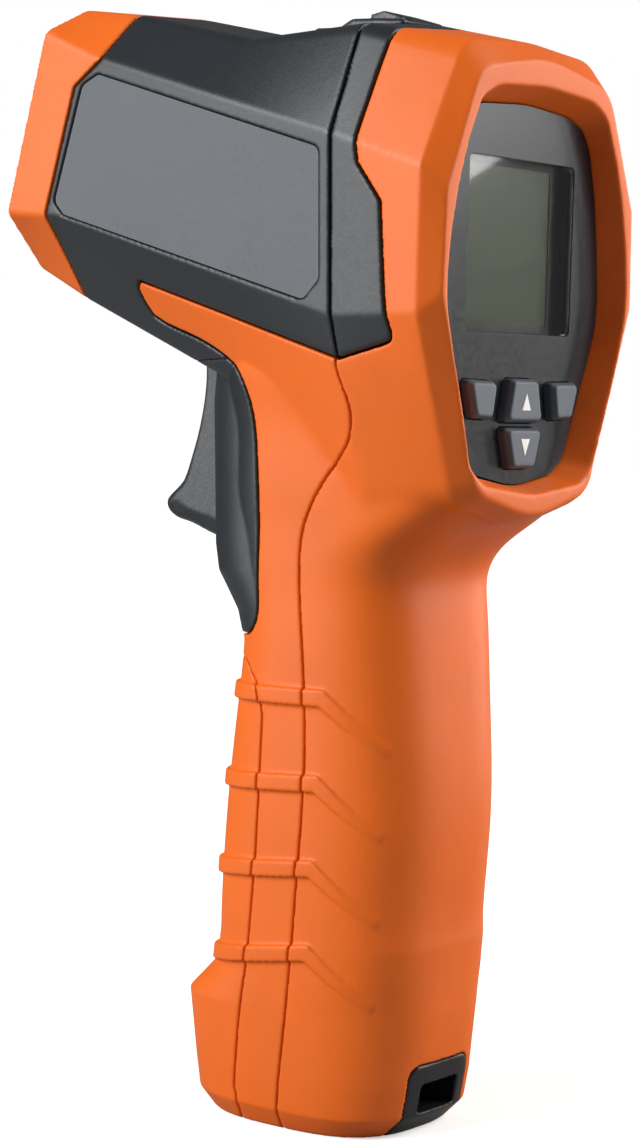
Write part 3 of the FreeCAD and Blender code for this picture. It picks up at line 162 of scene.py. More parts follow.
def plain_finish(name, colour, roughness, metallic=0.0, ior=1.5, patch_mm=3.0, darker=0.9):
    """A finish with a faint change of tone and gloss from place to place."""
    material, tree, place = new_material(name)
    patches = add_node(tree, "ShaderNodeTexNoise", inputs={
        "Vector": place, "Scale": 1.0 / (patch_mm * MM)}).outputs["Fac"]
    tone = add_node(tree, "ShaderNodeMapRange", inputs={"Value": patches, **MIDDLE}).outputs["Result"]
    body = add_node(tree, "ShaderNodeMix", {"data_type": "RGBA"},
                    {0: tone, 6: colour, 7: shade(colour, darker)})
    gloss_change = add_node(tree, "ShaderNodeMapRange", inputs={
        "Value": patches, "To Min": roughness * 0.85, "To Max": roughness * 1.15, **MIDDLE})
    shader = add_node(tree, "ShaderNodeBsdfPrincipled", inputs={
        "Base Color": body.outputs[2], "Roughness": gloss_change.outputs["Result"], "Metallic": metallic,
        "IOR": ior})
    finish_material(tree, shader.outputs["BSDF"])
    return material


def assign(material, *nodes):
    for name in nodes:
        mesh = frame["nodes"][name].data
        mesh.materials.clear()
        mesh.materials.append(material)


def mesh_piece(name, shape, material):
    """Turns a finished bmesh into an object of that name, with its material."""
    mesh = bpy.data.meshes.new(name)
    shape.to_mesh(mesh)
    shape.free()
    mesh.materials.append(material)
    piece = bpy.data.objects.new(name, mesh)
    bpy.context.scene.collection.objects.link(piece)
    return piece


# ---- Softened mouldings ----
def plain_mesh(piece):
    """Replaces a piece's mesh by the result of its modifiers, and removes them."""
    result = bpy.data.meshes.new_from_object(piece.evaluated_get(bpy.context.evaluated_depsgraph_get()))
    piece.modifiers.clear()
    piece.data = result


MERGE_MM = 0.001        # points of a CAD mesh this close are one point
RELAX_PASSES = 4        # smoothing passes on a rebuilt moulding
FLOW_PASSES = 120       # further passes where a moulding flows on smoothly
INSERT_CELL_MM = 0.2
KEY_CELL_MM = 0.14
MOST_FACES = 160000     # triangles in one rebuilt moulding
# The cells are turned away from the axes, so that no edge runs along a row of them and shows steps.
CELL_TURN = Matrix.Rotation(math.radians(35.0), 4, Vector((1.0, 0.7, 0.4)))


def soften(node, material, cell_mm, passes=RELAX_PASSES, flow=None):
    """Puts a copy with rounded edges in place of a sharp moulding.

    The copy is rebuilt from small cells and relaxed. flow gives, for a point in millimetres, how much
    further that place is smoothed, from 0 to 1.
    """
    source = frame["nodes"][node].data
    mesh = source.copy()
    mesh.name = node + "_soft"
    merged = bmesh.new()
    merged.from_mesh(mesh)
    bmesh.ops.remove_doubles(merged, verts=merged.verts, dist=MERGE_MM * MM)
    merged.to_mesh(mesh)
    merged.free()
    mesh.transform(CELL_TURN)
    piece = bpy.data.objects.new(node + "_soft", mesh)
    bpy.context.scene.collection.objects.link(piece)
    cells = piece.modifiers.new("cells", "REMESH")
    cells.mode = "VOXEL"
    cells.voxel_size = cell_mm * MM
    relax = piece.modifiers.new("relax", "SMOOTH")
    relax.factor = 0.5
    relax.iterations = passes
    plain_mesh(piece)
    piece.data.transform(CELL_TURN.inverted())
    if flow is not None:
        group = piece.vertex_groups.new(name="flow")
        for vertex in piece.data.vertices:
            weight = flow(vertex.co / MM)
            if weight > 0.0:
                group.add([vertex.index], weight, "REPLACE")
        melt = piece.modifiers.new("melt", "SMOOTH")
        melt.factor = 0.5
        melt.iterations = FLOW_PASSES
        melt.vertex_group = "flow"
    thin = piece.modifiers.new("thin", "DECIMATE")
    triangles = 2 * len(piece.data.polygons)
    thin.ratio = min(1.0, MOST_FACES / triangles)
    plain_mesh(piece)
    piece.vertex_groups.clear()
    piece.data.shade_smooth()
    piece.data.materials.clear()
    piece.data.materials.append(material)
    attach(piece, node if node in frame["bodies"] else "housing")
    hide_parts(node)


# ---- Lips behind the parting lines ----
WALL_MM = 2.2
LIP_GAP_MM = 0.15       # from the inside of the wall to the lip
LIP_THICKNESS_MM = 0.5
LIP_HALF_WIDTH = 1.6
LIP_STEP_MM = 1.5
STEEPEST_WALL = 0.4     # least sideways share of a wall's normal where a lip can sit
OUTSIDE_MM = 60.0       # sideways distance that is clear of the housing
RAY_MM = 55.0
WALL_NODES = ("nose_ring", "front_grip_shell", "battery_door", "rear_shell", "barrel_shell", "rear_band")
# Side view of each parting line, as (x, z) in millimetres.
PARTING_LINES = {
    "grip_lip": [(24.6, 120.0), (24.8, 116.5), (20.6, 111.1), (15.2, 105.7), (11.5, 99.0), (10.7, 89.7),
                 (11.5, 75.7), (11.5, 60.0)],
    "door_lip": [(-14.0, 79.2), (-2.6, 77.7), (1.4, 73.5), (2.3, 68.7), (1.7, 57.5), (0.8, 44.9),
                 (-1.1, 30.5)],
    "ring_lip": [(-26.1, 181.0), (-26.4, 177.4), (-32.6, 173.4), (-39.8, 152.5), (-41.2, 139.5)],
    "band_lip": [(24.7, 178.0), (24.7, 127.0)],
}


def seam_lip(name, path, side, material, walls):
    """A thin lip inside the wall that bridges a parting line, so that no light shows through it."""
    rows = []
    for (x0, z0), (x1, z1) in zip(path, path[1:]):
        length = math.hypot(x1 - x0, z1 - z0)
        across = Vector(((z0 - z1) / length, 0.0, (x1 - x0) / length)) * LIP_HALF_WIDTH
        steps = max(1, round(length / LIP_STEP_MM))
        for step in range(steps + 1):
            middle = Vector((x0 + (x1 - x0) * step / steps, 0.0, z0 + (z1 - z0) * step / steps))
            row = [inner_point(middle + across * share, side, walls) for share in (-1.0, 1.0)]
            if None not in row:
                rows.append(row)
    shape = bmesh.new()
    rings = []
    for low, high in rows:
        inward = Vector((0.0, -side * LIP_THICKNESS_MM, 0.0))
        rings.append([shape.verts.new(point * MM) for point in (low, high, high + inward, low + inward)])
    shape.faces.new(rings[0])
    shape.faces.new(rings[-1])
    for one, other in zip(rings, rings[1:]):
        for index in range(4):
            after = (index + 1) % 4
            shape.faces.new([one[index], one[after], other[after], other[index]])
    bmesh.ops.recalc_face_normals(shape, faces=shape.faces)
    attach(mesh_piece(name, shape, material), "housing")


def inner_point(place, side, walls):
    """The point just inside the wall of the moulding at this side view position, or None."""
    start = Vector((place.x, side * OUTSIDE_MM, place.z)) * MM
    best = None
    for tree in walls:
        hit, normal, index, distance = tree.ray_cast(start, Vector((0.0, -side, 0.0)), RAY_MM * MM)
        if hit is not None and (best is None or abs(hit.y) > abs(best[0].y)):
            best = (hit, normal)
    if best is None or abs(best[1].y) < STEEPEST_WALL:
        return None
    hit, normal = best
    depth = (WALL_MM + LIP_GAP_MM) / abs(normal.y)
    return Vector((place.x, hit.y / MM - side * depth, place.z))


# ---- Repeated details ----
def repeat_tree():
    """Geometry Nodes tree that sets copies of a small shape along a straight row."""
    tree = bpy.data.node_groups.new("row_of_copies", "GeometryNodeTree")
    face = tree.interface
    face.new_socket("Geometry", in_out="INPUT", socket_type="NodeSocketGeometry")
    count = face.new_socket("Count", in_out="INPUT", socket_type="NodeSocketInt")
    count.default_value = 2
    count.min_value = 1
    for name, value in (("Start", (0.0, 0.0, 0.0)), ("Step", (MM, 0.0, 0.0))):
        face.new_socket(name, in_out="INPUT", socket_type="NodeSocketVector").default_value = value
    face.new_socket("Material", in_out="INPUT", socket_type="NodeSocketMaterial")
    face.new_socket("Geometry", in_out="OUTPUT", socket_type="NodeSocketGeometry")
    given = add_node(tree, "NodeGroupInput").outputs
    line = add_node(tree, "GeometryNodeMeshLine", {"mode": "OFFSET"},
                    {"Count": given["Count"], "Start Location": given["Start"], "Offset": given["Step"]})
    copies = add_node(tree, "GeometryNodeInstanceOnPoints",
                      inputs={"Points": line.outputs["Mesh"], "Instance": given["Geometry"]})
    real = add_node(tree, "GeometryNodeRealizeInstances", inputs={"Geometry": copies.outputs["Instances"]})
    painted = add_node(tree, "GeometryNodeSetMaterial",
                       inputs={"Geometry": real.outputs["Geometry"], "Material": given["Material"]})
    add_node(tree, "NodeGroupOutput", inputs={"Geometry": painted.outputs["Geometry"]})
    return tree


def row_of(tree, name, shape, count, start, step, material, rider="housing"):
    """Copies shape count times from start, step apart, in millimetres, and fixes the row to a body."""
    piece = bpy.data.objects.new(name, shape)
    bpy.context.scene.collection.objects.link(piece)
    row = piece.modifiers.new("row", "NODES")
    row.node_group = tree
    values = {"Count": count, "Start": [value * MM for value in start],
              "Step": [value * MM for value in step], "Material": material}
    for socket in tree.interface.items_tree:
        if socket.in_out == "INPUT" and socket.name in values:
            row[socket.identifier] = values[socket.name]
    plain_mesh(piece)
    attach(piece, rider)


def boxes_mesh(name, boxes, bevel_mm=0.0):
    """One mesh of bevelled boxes, each (centre, size) in millimetres."""
    shape = bmesh.new()
    for centre, size in boxes:
        made = bmesh.ops.create_cube(shape, size=1.0)["verts"]
        bmesh.ops.scale(shape, vec=Vector(size) * MM, verts=made)
        bmesh.ops.translate(shape, vec=Vector(centre) * MM, verts=made)
    if bevel_mm > 0.0:
        bmesh.ops.bevel(shape, geom=shape.edges[:], offset=bevel_mm * MM, segments=2, affect="EDGES")
    mesh = bpy.data.meshes.new(name)
    shape.to_mesh(mesh)
    shape.free()
    return mesh


# ---- Settings a user would change ----
def colour_property(name, description, code):
    return bpy.props.FloatVectorProperty(name=name, description=description, subtype="COLOR", size=4,
                                         min=0.0, max=1.0, default=linear(code))


def length_property(name, description, value_mm, low_mm, high_mm):
    return bpy.props.FloatProperty(name=name, description=description, unit="LENGTH", precision=5,
                                   default=value_mm * MM, min=low_mm * MM, max=high_mm * MM)


class ThermometerColours(bpy.types.PropertyGroup):
    shell: colour_property("Shell", "Bright moulded shell", "ea6a16")
    body: colour_property("Body", "Dark front half of the barrel", "1f2429")
    label: colour_property("Label plate", "Blank plate on each side", "4c5258")
    panel: colour_property("Panel", "Control panel around the display", "181e25")
    key: colour_property("Keys", "Key caps", "4d5763")
    insert: colour_property("Base insert", "Socket insert in the base", "1d1f22")
    display: colour_property("Display", "Resting liquid crystal", "66715f")
    backdrop: colour_property("Backdrop", "Floor and backdrop", "f4f4f4")


class ThermometerSizes(bpy.types.PropertyGroup):
    cell: length_property("Cell", "Size of the cells that mouldings are rounded with", 0.3, 0.1, 2.0)
    grain: length_property("Grain", "Width of one grain of the moulded surface", 0.45, 0.05, 3.0)
    arrow: length_property("Arrow width", "Width of the arrow on a key", 2.3, 0.5, 4.0)


# ---- Operators ----
def ramp(value, start, end):
    """0 before start, 1 after end, and even between them."""
    return min(1.0, max(0.0, (value - start) / (end - start)))


def distance_to_path(x, z, path):
    """Side-view distance in millimetres from a point to a path of straight pieces."""
    nearest = 1000.0
    for (x0, z0), (x1, z1) in zip(path, path[1:]):
        run, rise = x1 - x0, z1 - z0
        share = min(1.0, max(0.0, ((x - x0) * run + (z - z0) * rise) / (run * run + rise * rise)))
        nearest = min(nearest, math.hypot(x - x0 - share * run, z - z0 - share * rise))
    return nearest


def under_barrel(point):
    """1 where the grip sweeps out under the barrel and hood, and 0 away from it and at parting lines."""
    behind_guard = ramp(point.x, 4.0, 8.0)
    rim_share = 1.0 - 0.8 * ramp(point.x, 36.0, 40.0)
    above_ribs = ramp(point.z, 82.0, 90.0)
    below_barrel = 1.0 - ramp(point.z, 114.0, 122.0)
    place = behind_guard * rim_share * above_ribs * below_barrel
    if place == 0.0:
        return 0.0
    return place * ramp(distance_to_path(point.x, point.z, PARTING_LINES["grip_lip"]), 0.8, 3.5)


class THERMO_OT_shell(bpy.types.Operator):
    """Bright shell: nose ring, both grip shells and battery door"""
    bl_idname = "thermometer.shell"
    bl_label = "Bright shell"

    def execute(self, context):
        colours = context.scene.thermometer_colours
        sizes = context.scene.thermometer_sizes
        # ABS moulded in a finely eroded tool: satin, with a broad soft highlight.
        grain = sizes.grain / MM
        material = moulded_plastic("moulded ABS, satin bright shell", colours.shell, 0.45, grain, 0.02,
                                   gloss=0.35)
        for node in ("nose_ring", "battery_door"):
            soften(node, material, sizes.cell / MM)
        for node in ("front_grip_shell", "rear_shell"):
            soften(node, material, sizes.cell / MM, flow=under_barrel)
        # The inner lips are drawn black, as painted shade inside the parting lines.
        painted_shade = moulded_plastic("black inner lip, painted gap shade", linear("141516"), 0.6, grain, 0.01)
        walls = []
        for node in WALL_NODES:
            mesh = frame["nodes"][node].data
            walls.append(BVHTree.FromPolygons([vertex.co for vertex in mesh.vertices],
                                              [polygon.vertices for polygon in mesh.polygons]))
        for name, path in PARTING_LINES.items():
            seam_lip(name + "_left", path, -1, painted_shade, walls)
            seam_lip(name + "_right", path, 1, painted_shade, walls)
        return {"FINISHED"}


class THERMO_OT_body(bpy.types.Operator):
    """Dark mouldings: barrel, band, trigger guard, trigger, sight and optics surround"""
    bl_idname = "thermometer.body"
    bl_label = "Dark mouldings"

    def execute(self, context):
        colours = context.scene.thermometer_colours
        sizes = context.scene.thermometer_sizes
        # The same ABS in dark grey, with a painted highlight of paler grey on every edge.
        grain = sizes.grain / MM
        material = moulded_plastic("moulded ABS, satin dark grey", colours.body, 0.38, grain, 0.02, 2.2)
        for node in ("barrel_shell", "rear_band", "trigger_guard", "trigger", "top_sight"):
            soften(node, material, sizes.cell / MM)
        assign(material, "front_plate", "lens_retainer")
        # The insert is moulded in a polished tool, so it is glossier and looks blacker; its edges carry a
        # painted highlight.
        insert = moulded_plastic("moulded ABS, glossy black insert", colours.insert, 0.25, grain, 0.005, 2.0)
        soften("base_insert", insert, INSERT_CELL_MM)
        return {"FINISHED"}


class THERMO_OT_labels(bpy.types.Operator):
    """Blank label plates in the recesses of the barrel"""
    bl_idname = "thermometer.labels"
    bl_label = "Label plates"

    def execute(self, context):
        colours = context.scene.thermometer_colours
        # Textured polycarbonate sheet: matt, with a fine even grain.
        material = moulded_plastic("textured polycarbonate label, matt grey", colours.label, 0.5, 0.35, 0.015)
        assign(material, "label_plate_left", "label_plate_right")
        return {"FINISHED"}


class THERMO_OT_display(bpy.types.Operator):
    """Control panel, display window, liquid crystal glass and its black border"""
    bl_idname = "thermometer.display"
    bl_label = "Panel and display"

    def execute(self, context):
        colours = context.scene.thermometer_colours
        # ABS moulded in a polished tool: a smooth even sheen with very shallow waves.
        panel = moulded_plastic("moulded ABS, satin grey panel", colours.panel, 0.24, 0.9, 0.0015)
        assign(panel, "control_panel")
        # Clear acrylic: reflects a little at every angle and more towards grazing.
        material, tree, place = new_material("clear acrylic window")
        shader = add_node(tree, "ShaderNodeBsdfPrincipled", inputs={
            "Base Color": (1.0, 1.0, 1.0, 1.0), "Roughness": 0.03, "IOR": 1.49, "Transmission Weight": 1.0})
        finish_material(tree, shader.outputs["BSDF"])
        assign(material, "display_window")
        # Polariser film over a reflective display: grey-green and faintly glossy.
        assign(plain_finish("liquid crystal glass, grey green", colours.display, 0.22, darker=0.96),
               "lcd_glass")
        # White polycarbonate tray that spreads the backlight: matt, with faint patches.
        assign(plain_finish("moulded polycarbonate, white", linear("dcdcd4"), 0.5), "lcd_frame")
        # Ink screened on the glass dries to an even film, less glossy than the glass.
        ink = plain_finish("screen-printed ink, black", linear("0e0f10"), 0.4)
        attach(display_border(ink), "housing")
        return {"FINISHED"}


# Half width, lowest and highest level of the border's outline, and its back and front, before the lean.
BORDER_OUTER = (14.6, 130.6, 158.7)
BORDER_INNER = (11.0, 132.2, 156.8)
BORDER_DEPTHS = (37.72, 37.82)


def display_border(material):
    """Black border printed round the live part of the liquid crystal."""
    shape = bmesh.new()
    loops = []
    for x in BORDER_DEPTHS:
        for half, low, high in (BORDER_OUTER, BORDER_INNER):
            loops.append([shape.verts.new(leaning(x, y, z)) for y, z in
                          ((-half, low), (half, low), (half, high), (-half, high))])
    back_outer, back_inner, front_outer, front_inner = loops
    for index in range(4):
        after = (index + 1) % 4
        for one, other in ((front_outer, front_inner), (front_inner, back_inner),
                           (back_inner, back_outer), (back_outer, front_outer)):
            shape.faces.new([one[index], one[after], other[after], other[index]])
    bmesh.ops.recalc_face_normals(shape, faces=shape.faces)
    return mesh_piece("display_border", shape, material)


class THERMO_OT_keys(bpy.types.Operator):
    """Key caps and the plain arrows on the up and down keys"""
    bl_idname = "thermometer.keys"
    bl_label = "Keys and arrows"

    def execute(self, context):
        colours = context.scene.thermometer_colours
        sizes = context.scene.thermometer_sizes
        # Matt ABS caps, with a painted highlight paler along their edges.
        material = moulded_plastic("moulded ABS, matt grey key", colours.key, 0.45, 0.35, 0.006, 1.8)
        # Ink printed by a soft pad lies a little unevenly and has no gloss.
        ink = plain_finish("pad-printed ink, white", linear("f2f2f0"), 0.6, darker=0.97)
        for node, direction in (("key_up", 1.0), ("key_down", -1.0)):
            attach(make_arrow(node, direction, sizes.arrow, ink), node)
        for node in ("key_mode", "key_set", "key_up", "key_down"):
            soften(node, material, KEY_CELL_MM, passes=3)
        return {"FINISHED"}


# The display end leans about a line across the part, in the face of the panel.
LEAN = math.radians(2.1)
LEAN_X = 41.0
LEAN_HEIGHT = 133.7
INK_DEPTH_MM = 0.05


def leaning(x, y, z):
    """A point of the display end, in millimetres before it leans, as a place in metres after."""
    along = x - LEAN_X
    up = z - LEAN_HEIGHT
    return Vector((LEAN_X + along * math.cos(LEAN) + up * math.sin(LEAN), y,
                   LEAN_HEIGHT - along * math.sin(LEAN) + up * math.cos(LEAN))) * MM


def face_centre(node, outward):
    """Area-weighted middle of a key's flat top, which is its outermost face."""
    facing = [face for face in frame["nodes"][node].data.polygons if face.normal.dot(outward) > 0.999]
    height = max(face.center.dot(outward) for face in facing)
    total = 0.0
    centre = Vector()
    for face in facing:
        if height - face.center.dot(outward) < INK_DEPTH_MM * MM:
            total += face.area
            centre += face.center * face.area
    return centre / total


def make_arrow(node, direction, width, material):
    """A flat triangle of ink on a key's leaning face, pointing up or down."""
    outward = Vector((math.cos(LEAN), 0.0, -math.sin(LEAN)))
    upward = Vector((math.sin(LEAN), 0.0, math.cos(LEAN)))
    centre = face_centre(node, outward)
    height = 1.15 * width
    corners = [(-width / 2.0, -direction * height / 2.0), (width / 2.0, -direction * height / 2.0),
               (0.0, direction * height / 2.0)]
    shape = bmesh.new()
    rings = []
    for depth in (-INK_DEPTH_MM * MM, INK_DEPTH_MM * MM):
        rings.append([shape.verts.new(centre + upward * up + Vector((0.0, across, 0.0)) + outward * depth)
                      for across, up in corners])
    shape.faces.new(rings[1])
    shape.faces.new(list(reversed(rings[0])))
    for index in range(3):
        after = (index + 1) % 3
        shape.faces.new([rings[0][index], rings[0][after], rings[1][after], rings[1][index]])
    bmesh.ops.recalc_face_normals(shape, faces=shape.faces)
    return mesh_piece(node + "_arrow", shape, material)


# Places and sizes of the repeated details, in millimetres.
CENTRE = (0, 0, 0)
DRIVE_SIZE = (2.2, 0.5, 0.12)           # a cross drive's length, width and depth
SIDE_SCREW = (14.0, 25.72, 147.7)       # face of the screw head under each label plate
GRIP_SCREW = (2.46, 9.0, 67.7)          # face of the screw head at each side of the battery
PROCESSOR = (31.55, 0.0, 145.7)         # level of the processor's legs on the main board
PROCESSOR_Y = -4.0
LEG_REACH = 5.45                        # middle of the processor to the middle of a leg
LEG_COUNT = 9
LEG_PITCH = 1.0
STRIP_X = 34.6
STRIPE_COUNT = 39
STRIPE_PITCH = 0.7


class THERMO_OT_inside(bpy.types.Operator):
    """Optics, boards, battery, leads and fixings"""
    bl_idname = "thermometer.inside"
    bl_label = "Inside pieces"

    def execute(self, context):
        # Bright zinc plating, barrel-finished: gloss varies in small patches.
        steel = plain_finish("zinc-plated steel, barrel finished", linear("b9bcc0"), 0.3, 1.0, patch_mm=1.5)
        assign(steel, "housing_screws", "door_hinge_pins", "board_screws", "trigger_pin", "thermopile_sensor")
        return_spring(steel)
        # Turned brass: fine rings left by the lathe tool.
        assign(turned_metal("turned brass", linear("d2b066"), 0.28), "laser_module_upper",
               "laser_module_lower", "thermocouple_contacts")
        # Anodising leaves a dull black film through which the metal barely shines.
        assign(plain_finish("black anodised aluminium", linear("1b1c1f"), 0.45, 0.6, patch_mm=1.0),
               "optic_tube")
        # Moulded polyethylene lens, the usual clear-to-infrared dark plastic.
        assign(plain_finish("infrared lens, dark polished", linear("2b2b33"), 0.08), "lens")
        # Woven glass under a green solder mask: the weave shows as a fine square pattern.
        assign(woven_board("glass-fibre board, green mask", linear("1f6a3c"), 0.35), "main_board",
               "sensor_board", "switch_board")
        # Nylon with glass fibres comes out of the tool matt, with a coarse grain.
        assign(moulded_plastic("glass-filled nylon, matt black", linear("222326"), 0.5, 0.3, 0.01),
               "board_components", "buzzer", "optics_bracket", "battery_tray", "battery_snap",
               "trigger_switch", "sensor_spacers")
        # Pressed silicone has no gloss and a soft, slightly cloudy grey.
        assign(moulded_plastic("silicone rubber, matt grey", linear("8f9292"), 0.6, 0.5, 0.01),
               "keypad_mat", "contact_strips")
        # Lacquer over a printed steel can: smooth and softly glossy.
        assign(plain_finish("printed steel can, grey", linear("6a6f78"), 0.35, patch_mm=2.0), "battery")
        # Extruded vinyl is smooth along the wire, with a soft shine.
        assign(plain_finish("vinyl insulation, extruded red", linear("9a2420"), 0.45, patch_mm=0.8),
               "battery_leads", "sensor_leads")
        self.add_rows()
        return {"FINISHED"}

    def add_rows(self):
        tree = repeat_tree()
        # Painted shade: the unlit recess of a drive is drawn as a dark cross.
        painted_shade = plain_finish("painted shade of a drive recess", linear("1c1d1e"), 0.6, 0.8)
        long, short, depth = DRIVE_SIZE
        cross = boxes_mesh("side_drive", [(CENTRE, (long, depth, short)), (CENTRE, (short, depth, long))])
        x, y, z = SIDE_SCREW
        row_of(tree, "side_screw_drives", cross, 2, (x, -y, z), (0, 2 * y, 0), painted_shade)
        cross = boxes_mesh("grip_drive", [(CENTRE, (depth, long, short)), (CENTRE, (depth, short, long))])
        x, y, z = GRIP_SCREW
        row_of(tree, "grip_screw_drives", cross, 2, (x, -y, z), (0, 2 * y, 0), painted_shade)
        # Dipped tin is bright and a little uneven.
        tin = plain_finish("tinned copper legs", linear("c9ccce"), 0.3, 1.0, patch_mm=0.5)
        leg = boxes_mesh("leg", [(CENTRE, (0.35, 1.0, 0.4))], 0.06)
        flat_leg = boxes_mesh("upright_leg", [(CENTRE, (0.35, 0.4, 1.0))], 0.06)
        board = leaning(*PROCESSOR) / MM
        first = LEG_PITCH * (LEG_COUNT - 1) / 2.0
        for side, place in ((-1, "low"), (1, "high")):
            row_of(tree, "processor_side_legs_" + place, leg, LEG_COUNT,
                   (board.x, PROCESSOR_Y + side * LEG_REACH, board.z - first), (0, 0, LEG_PITCH), tin)
            row_of(tree, "processor_end_legs_" + place, flat_leg, LEG_COUNT,
                   (board.x, PROCESSOR_Y - first, board.z + side * LEG_REACH), (0, LEG_PITCH, 0), tin)
        # Carbon makes the rubber's stripes black and dull.
        carbon = plain_finish("carbon-filled silicone stripe, black", linear("1a1a1c"), 0.55)
        for name, height in (("lower", 130.7), ("upper", 158.1)):
            stripe = boxes_mesh(name + "_stripe", [(CENTRE, (1.0, 0.35, 1.24))])
            middle = leaning(STRIP_X, 0.0, height) / MM
            first = -STRIPE_PITCH * (STRIPE_COUNT - 1) / 2.0
            row_of(tree, name + "_contact_stripes", stripe, STRIPE_COUNT, (middle.x, first, middle.z),
                   (0, STRIPE_PITCH, 0), carbon)


def return_spring(material):
    """Copy of the trigger's return spring, with its points merged, in place of the one from the model."""
    shape = bmesh.new()
    shape.from_mesh(frame["nodes"]["trigger_spring"].data)
    bmesh.ops.remove_doubles(shape, verts=shape.verts, dist=MERGE_MM * MM)
    spring = mesh_piece("return_spring", shape, material)
    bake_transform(spring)
    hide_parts("trigger_spring")


WAVE_BANDS = 20.0       # a wave texture's bands in one unit at scale 1
TOOL_RING_MM = 0.25     # drawn coarser than the real rings, which would not show
THREAD_MM = 0.5


def turned_metal(name, colour, roughness):
    """Metal with fine tool rings round the axis that runs along X."""
    material, tree, place = new_material(name)
    rings = add_node(tree, "ShaderNodeTexWave", {"wave_type": "BANDS", "bands_direction": "X"}, {
        "Vector": place, "Scale": 1.0 / (WAVE_BANDS * TOOL_RING_MM * MM), "Distortion": 0.4}).outputs["Fac"]
    bump = add_node(tree, "ShaderNodeBump", inputs={
        "Height": rings, "Distance": 0.004 * MM, "Strength": 0.5})
    gloss_change = add_node(tree, "ShaderNodeMapRange", inputs={
        "Value": rings, "To Min": roughness * 0.8, "To Max": roughness * 1.3, **MIDDLE})
    shader = add_node(tree, "ShaderNodeBsdfPrincipled", inputs={
        "Base Color": colour, "Metallic": 1.0, "Roughness": gloss_change.outputs["Result"],
        "Normal": bump.outputs["Normal"]})
    finish_material(tree, shader.outputs["BSDF"])
    return material


def woven_board(name, colour, roughness):
    """Circuit board whose glass weave shows faintly through the mask."""
    material, tree, place = new_material(name)
    scale = 1.0 / (WAVE_BANDS * THREAD_MM * MM)
    across, upright = [
        add_node(tree, "ShaderNodeTexWave", {"wave_type": "BANDS", "bands_direction": direction},
                 {"Vector": place, "Scale": scale}).outputs["Fac"] for direction in ("Y", "Z")]
    weave = add_node(tree, "ShaderNodeMath", {"operation": "MAXIMUM"}, {0: across, 1: upright}).outputs[0]
    body = add_node(tree, "ShaderNodeMix", {"data_type": "RGBA"},
                    {0: weave, 6: colour, 7: shade(colour, 0.8)})
    shader = add_node(tree, "ShaderNodeBsdfPrincipled", inputs={
        "Base Color": body.outputs[2], "Roughness": roughness, "IOR": 1.5})
    finish_material(tree, shader.outputs["BSDF"])
    return material


LAMP_TARGET = Vector((0.0, 0.0, 0.10))
LAMP_DISTANCE = 0.8
CARD_DISTANCE = 0.5
WHITE_LIGHT = (1.0, 1.0, 1.0)
WARM_LIGHT = (1.0, 0.95, 0.90)
# Each lamp's name, bearing in degrees to the right of the camera's own, height in degrees, width and
# height in metres, power in watts, colour, shape and distance in metres.
LAMPS = (
    ("left raised softbox", -62.0, 34.0, (0.4, 0.4), 6.1, WHITE_LIGHT, "RECTANGLE", LAMP_DISTANCE),
    ("left low softbox", -80.0, 5.0, (0.4, 0.4), 2.4, WHITE_LIGHT, "RECTANGLE", LAMP_DISTANCE),
    ("right raised softbox", 87.0, 36.0, (0.4, 0.4), 3.7, WARM_LIGHT, "RECTANGLE", LAMP_DISTANCE),
    ("right low softbox", 80.0, 5.0, (0.38, 0.4), 1.9, WARM_LIGHT, "RECTANGLE", LAMP_DISTANCE),
    ("back low softbox", 122.0, 5.0, (0.38, 0.4), 1.8, WARM_LIGHT, "RECTANGLE", LAMP_DISTANCE),
    ("small card", 95.0, 23.0, (0.16, 0.26), 0.36, WHITE_LIGHT, "ELLIPSE", CARD_DISTANCE),
)


def softbox(name, turn, rise, size, energy, colour, shape, distance):
    """Soft lamp aimed at the object."""
    bearing = math.radians(turn) + CAMERA_AZIMUTH - math.pi / 2.0
    rise = math.radians(rise)
    towards = Vector((math.cos(bearing) * math.cos(rise), math.sin(bearing) * math.cos(rise), math.sin(rise)))
    data = bpy.data.lights.new(name, "AREA")
    data.shape = shape
    data.size, data.size_y = size
    data.energy = energy
    data.color = colour
    lamp = bpy.data.objects.new(name, data)
    lamp.location = LAMP_TARGET + towards * distance
    lamp.rotation_mode = "QUATERNION"
    lamp.rotation_quaternion = (-towards).to_track_quat("-Z", "Y")
    bpy.context.scene.collection.objects.link(lamp)


class THERMO_OT_stage(bpy.types.Operator):
    """Floor, backdrop, lamps and camera"""
    bl_idname = "thermometer.stage"
    bl_label = "Stage"

    def execute(self, context):
        scene = context.scene
        colours = scene.thermometer_colours
        make_floor(colours.backdrop)
        make_world()
        for lamp in LAMPS:
            softbox(*lamp)
        make_camera(scene)
        scene.view_settings.view_transform = "Standard"
        return {"FINISHED"}


FLOOR_HALF = 6.0        # metres
FLOOR_REACH = 0.35      # share of the paint's colour that the object's own light sees
GLOW_NEAR = 0.45
GLOW_FAR = 0.99
FADE_FROM = 0.15        # metres from the object
FADE_TO = 1.2
BOUNCE = 0.12           # strength of the light all round


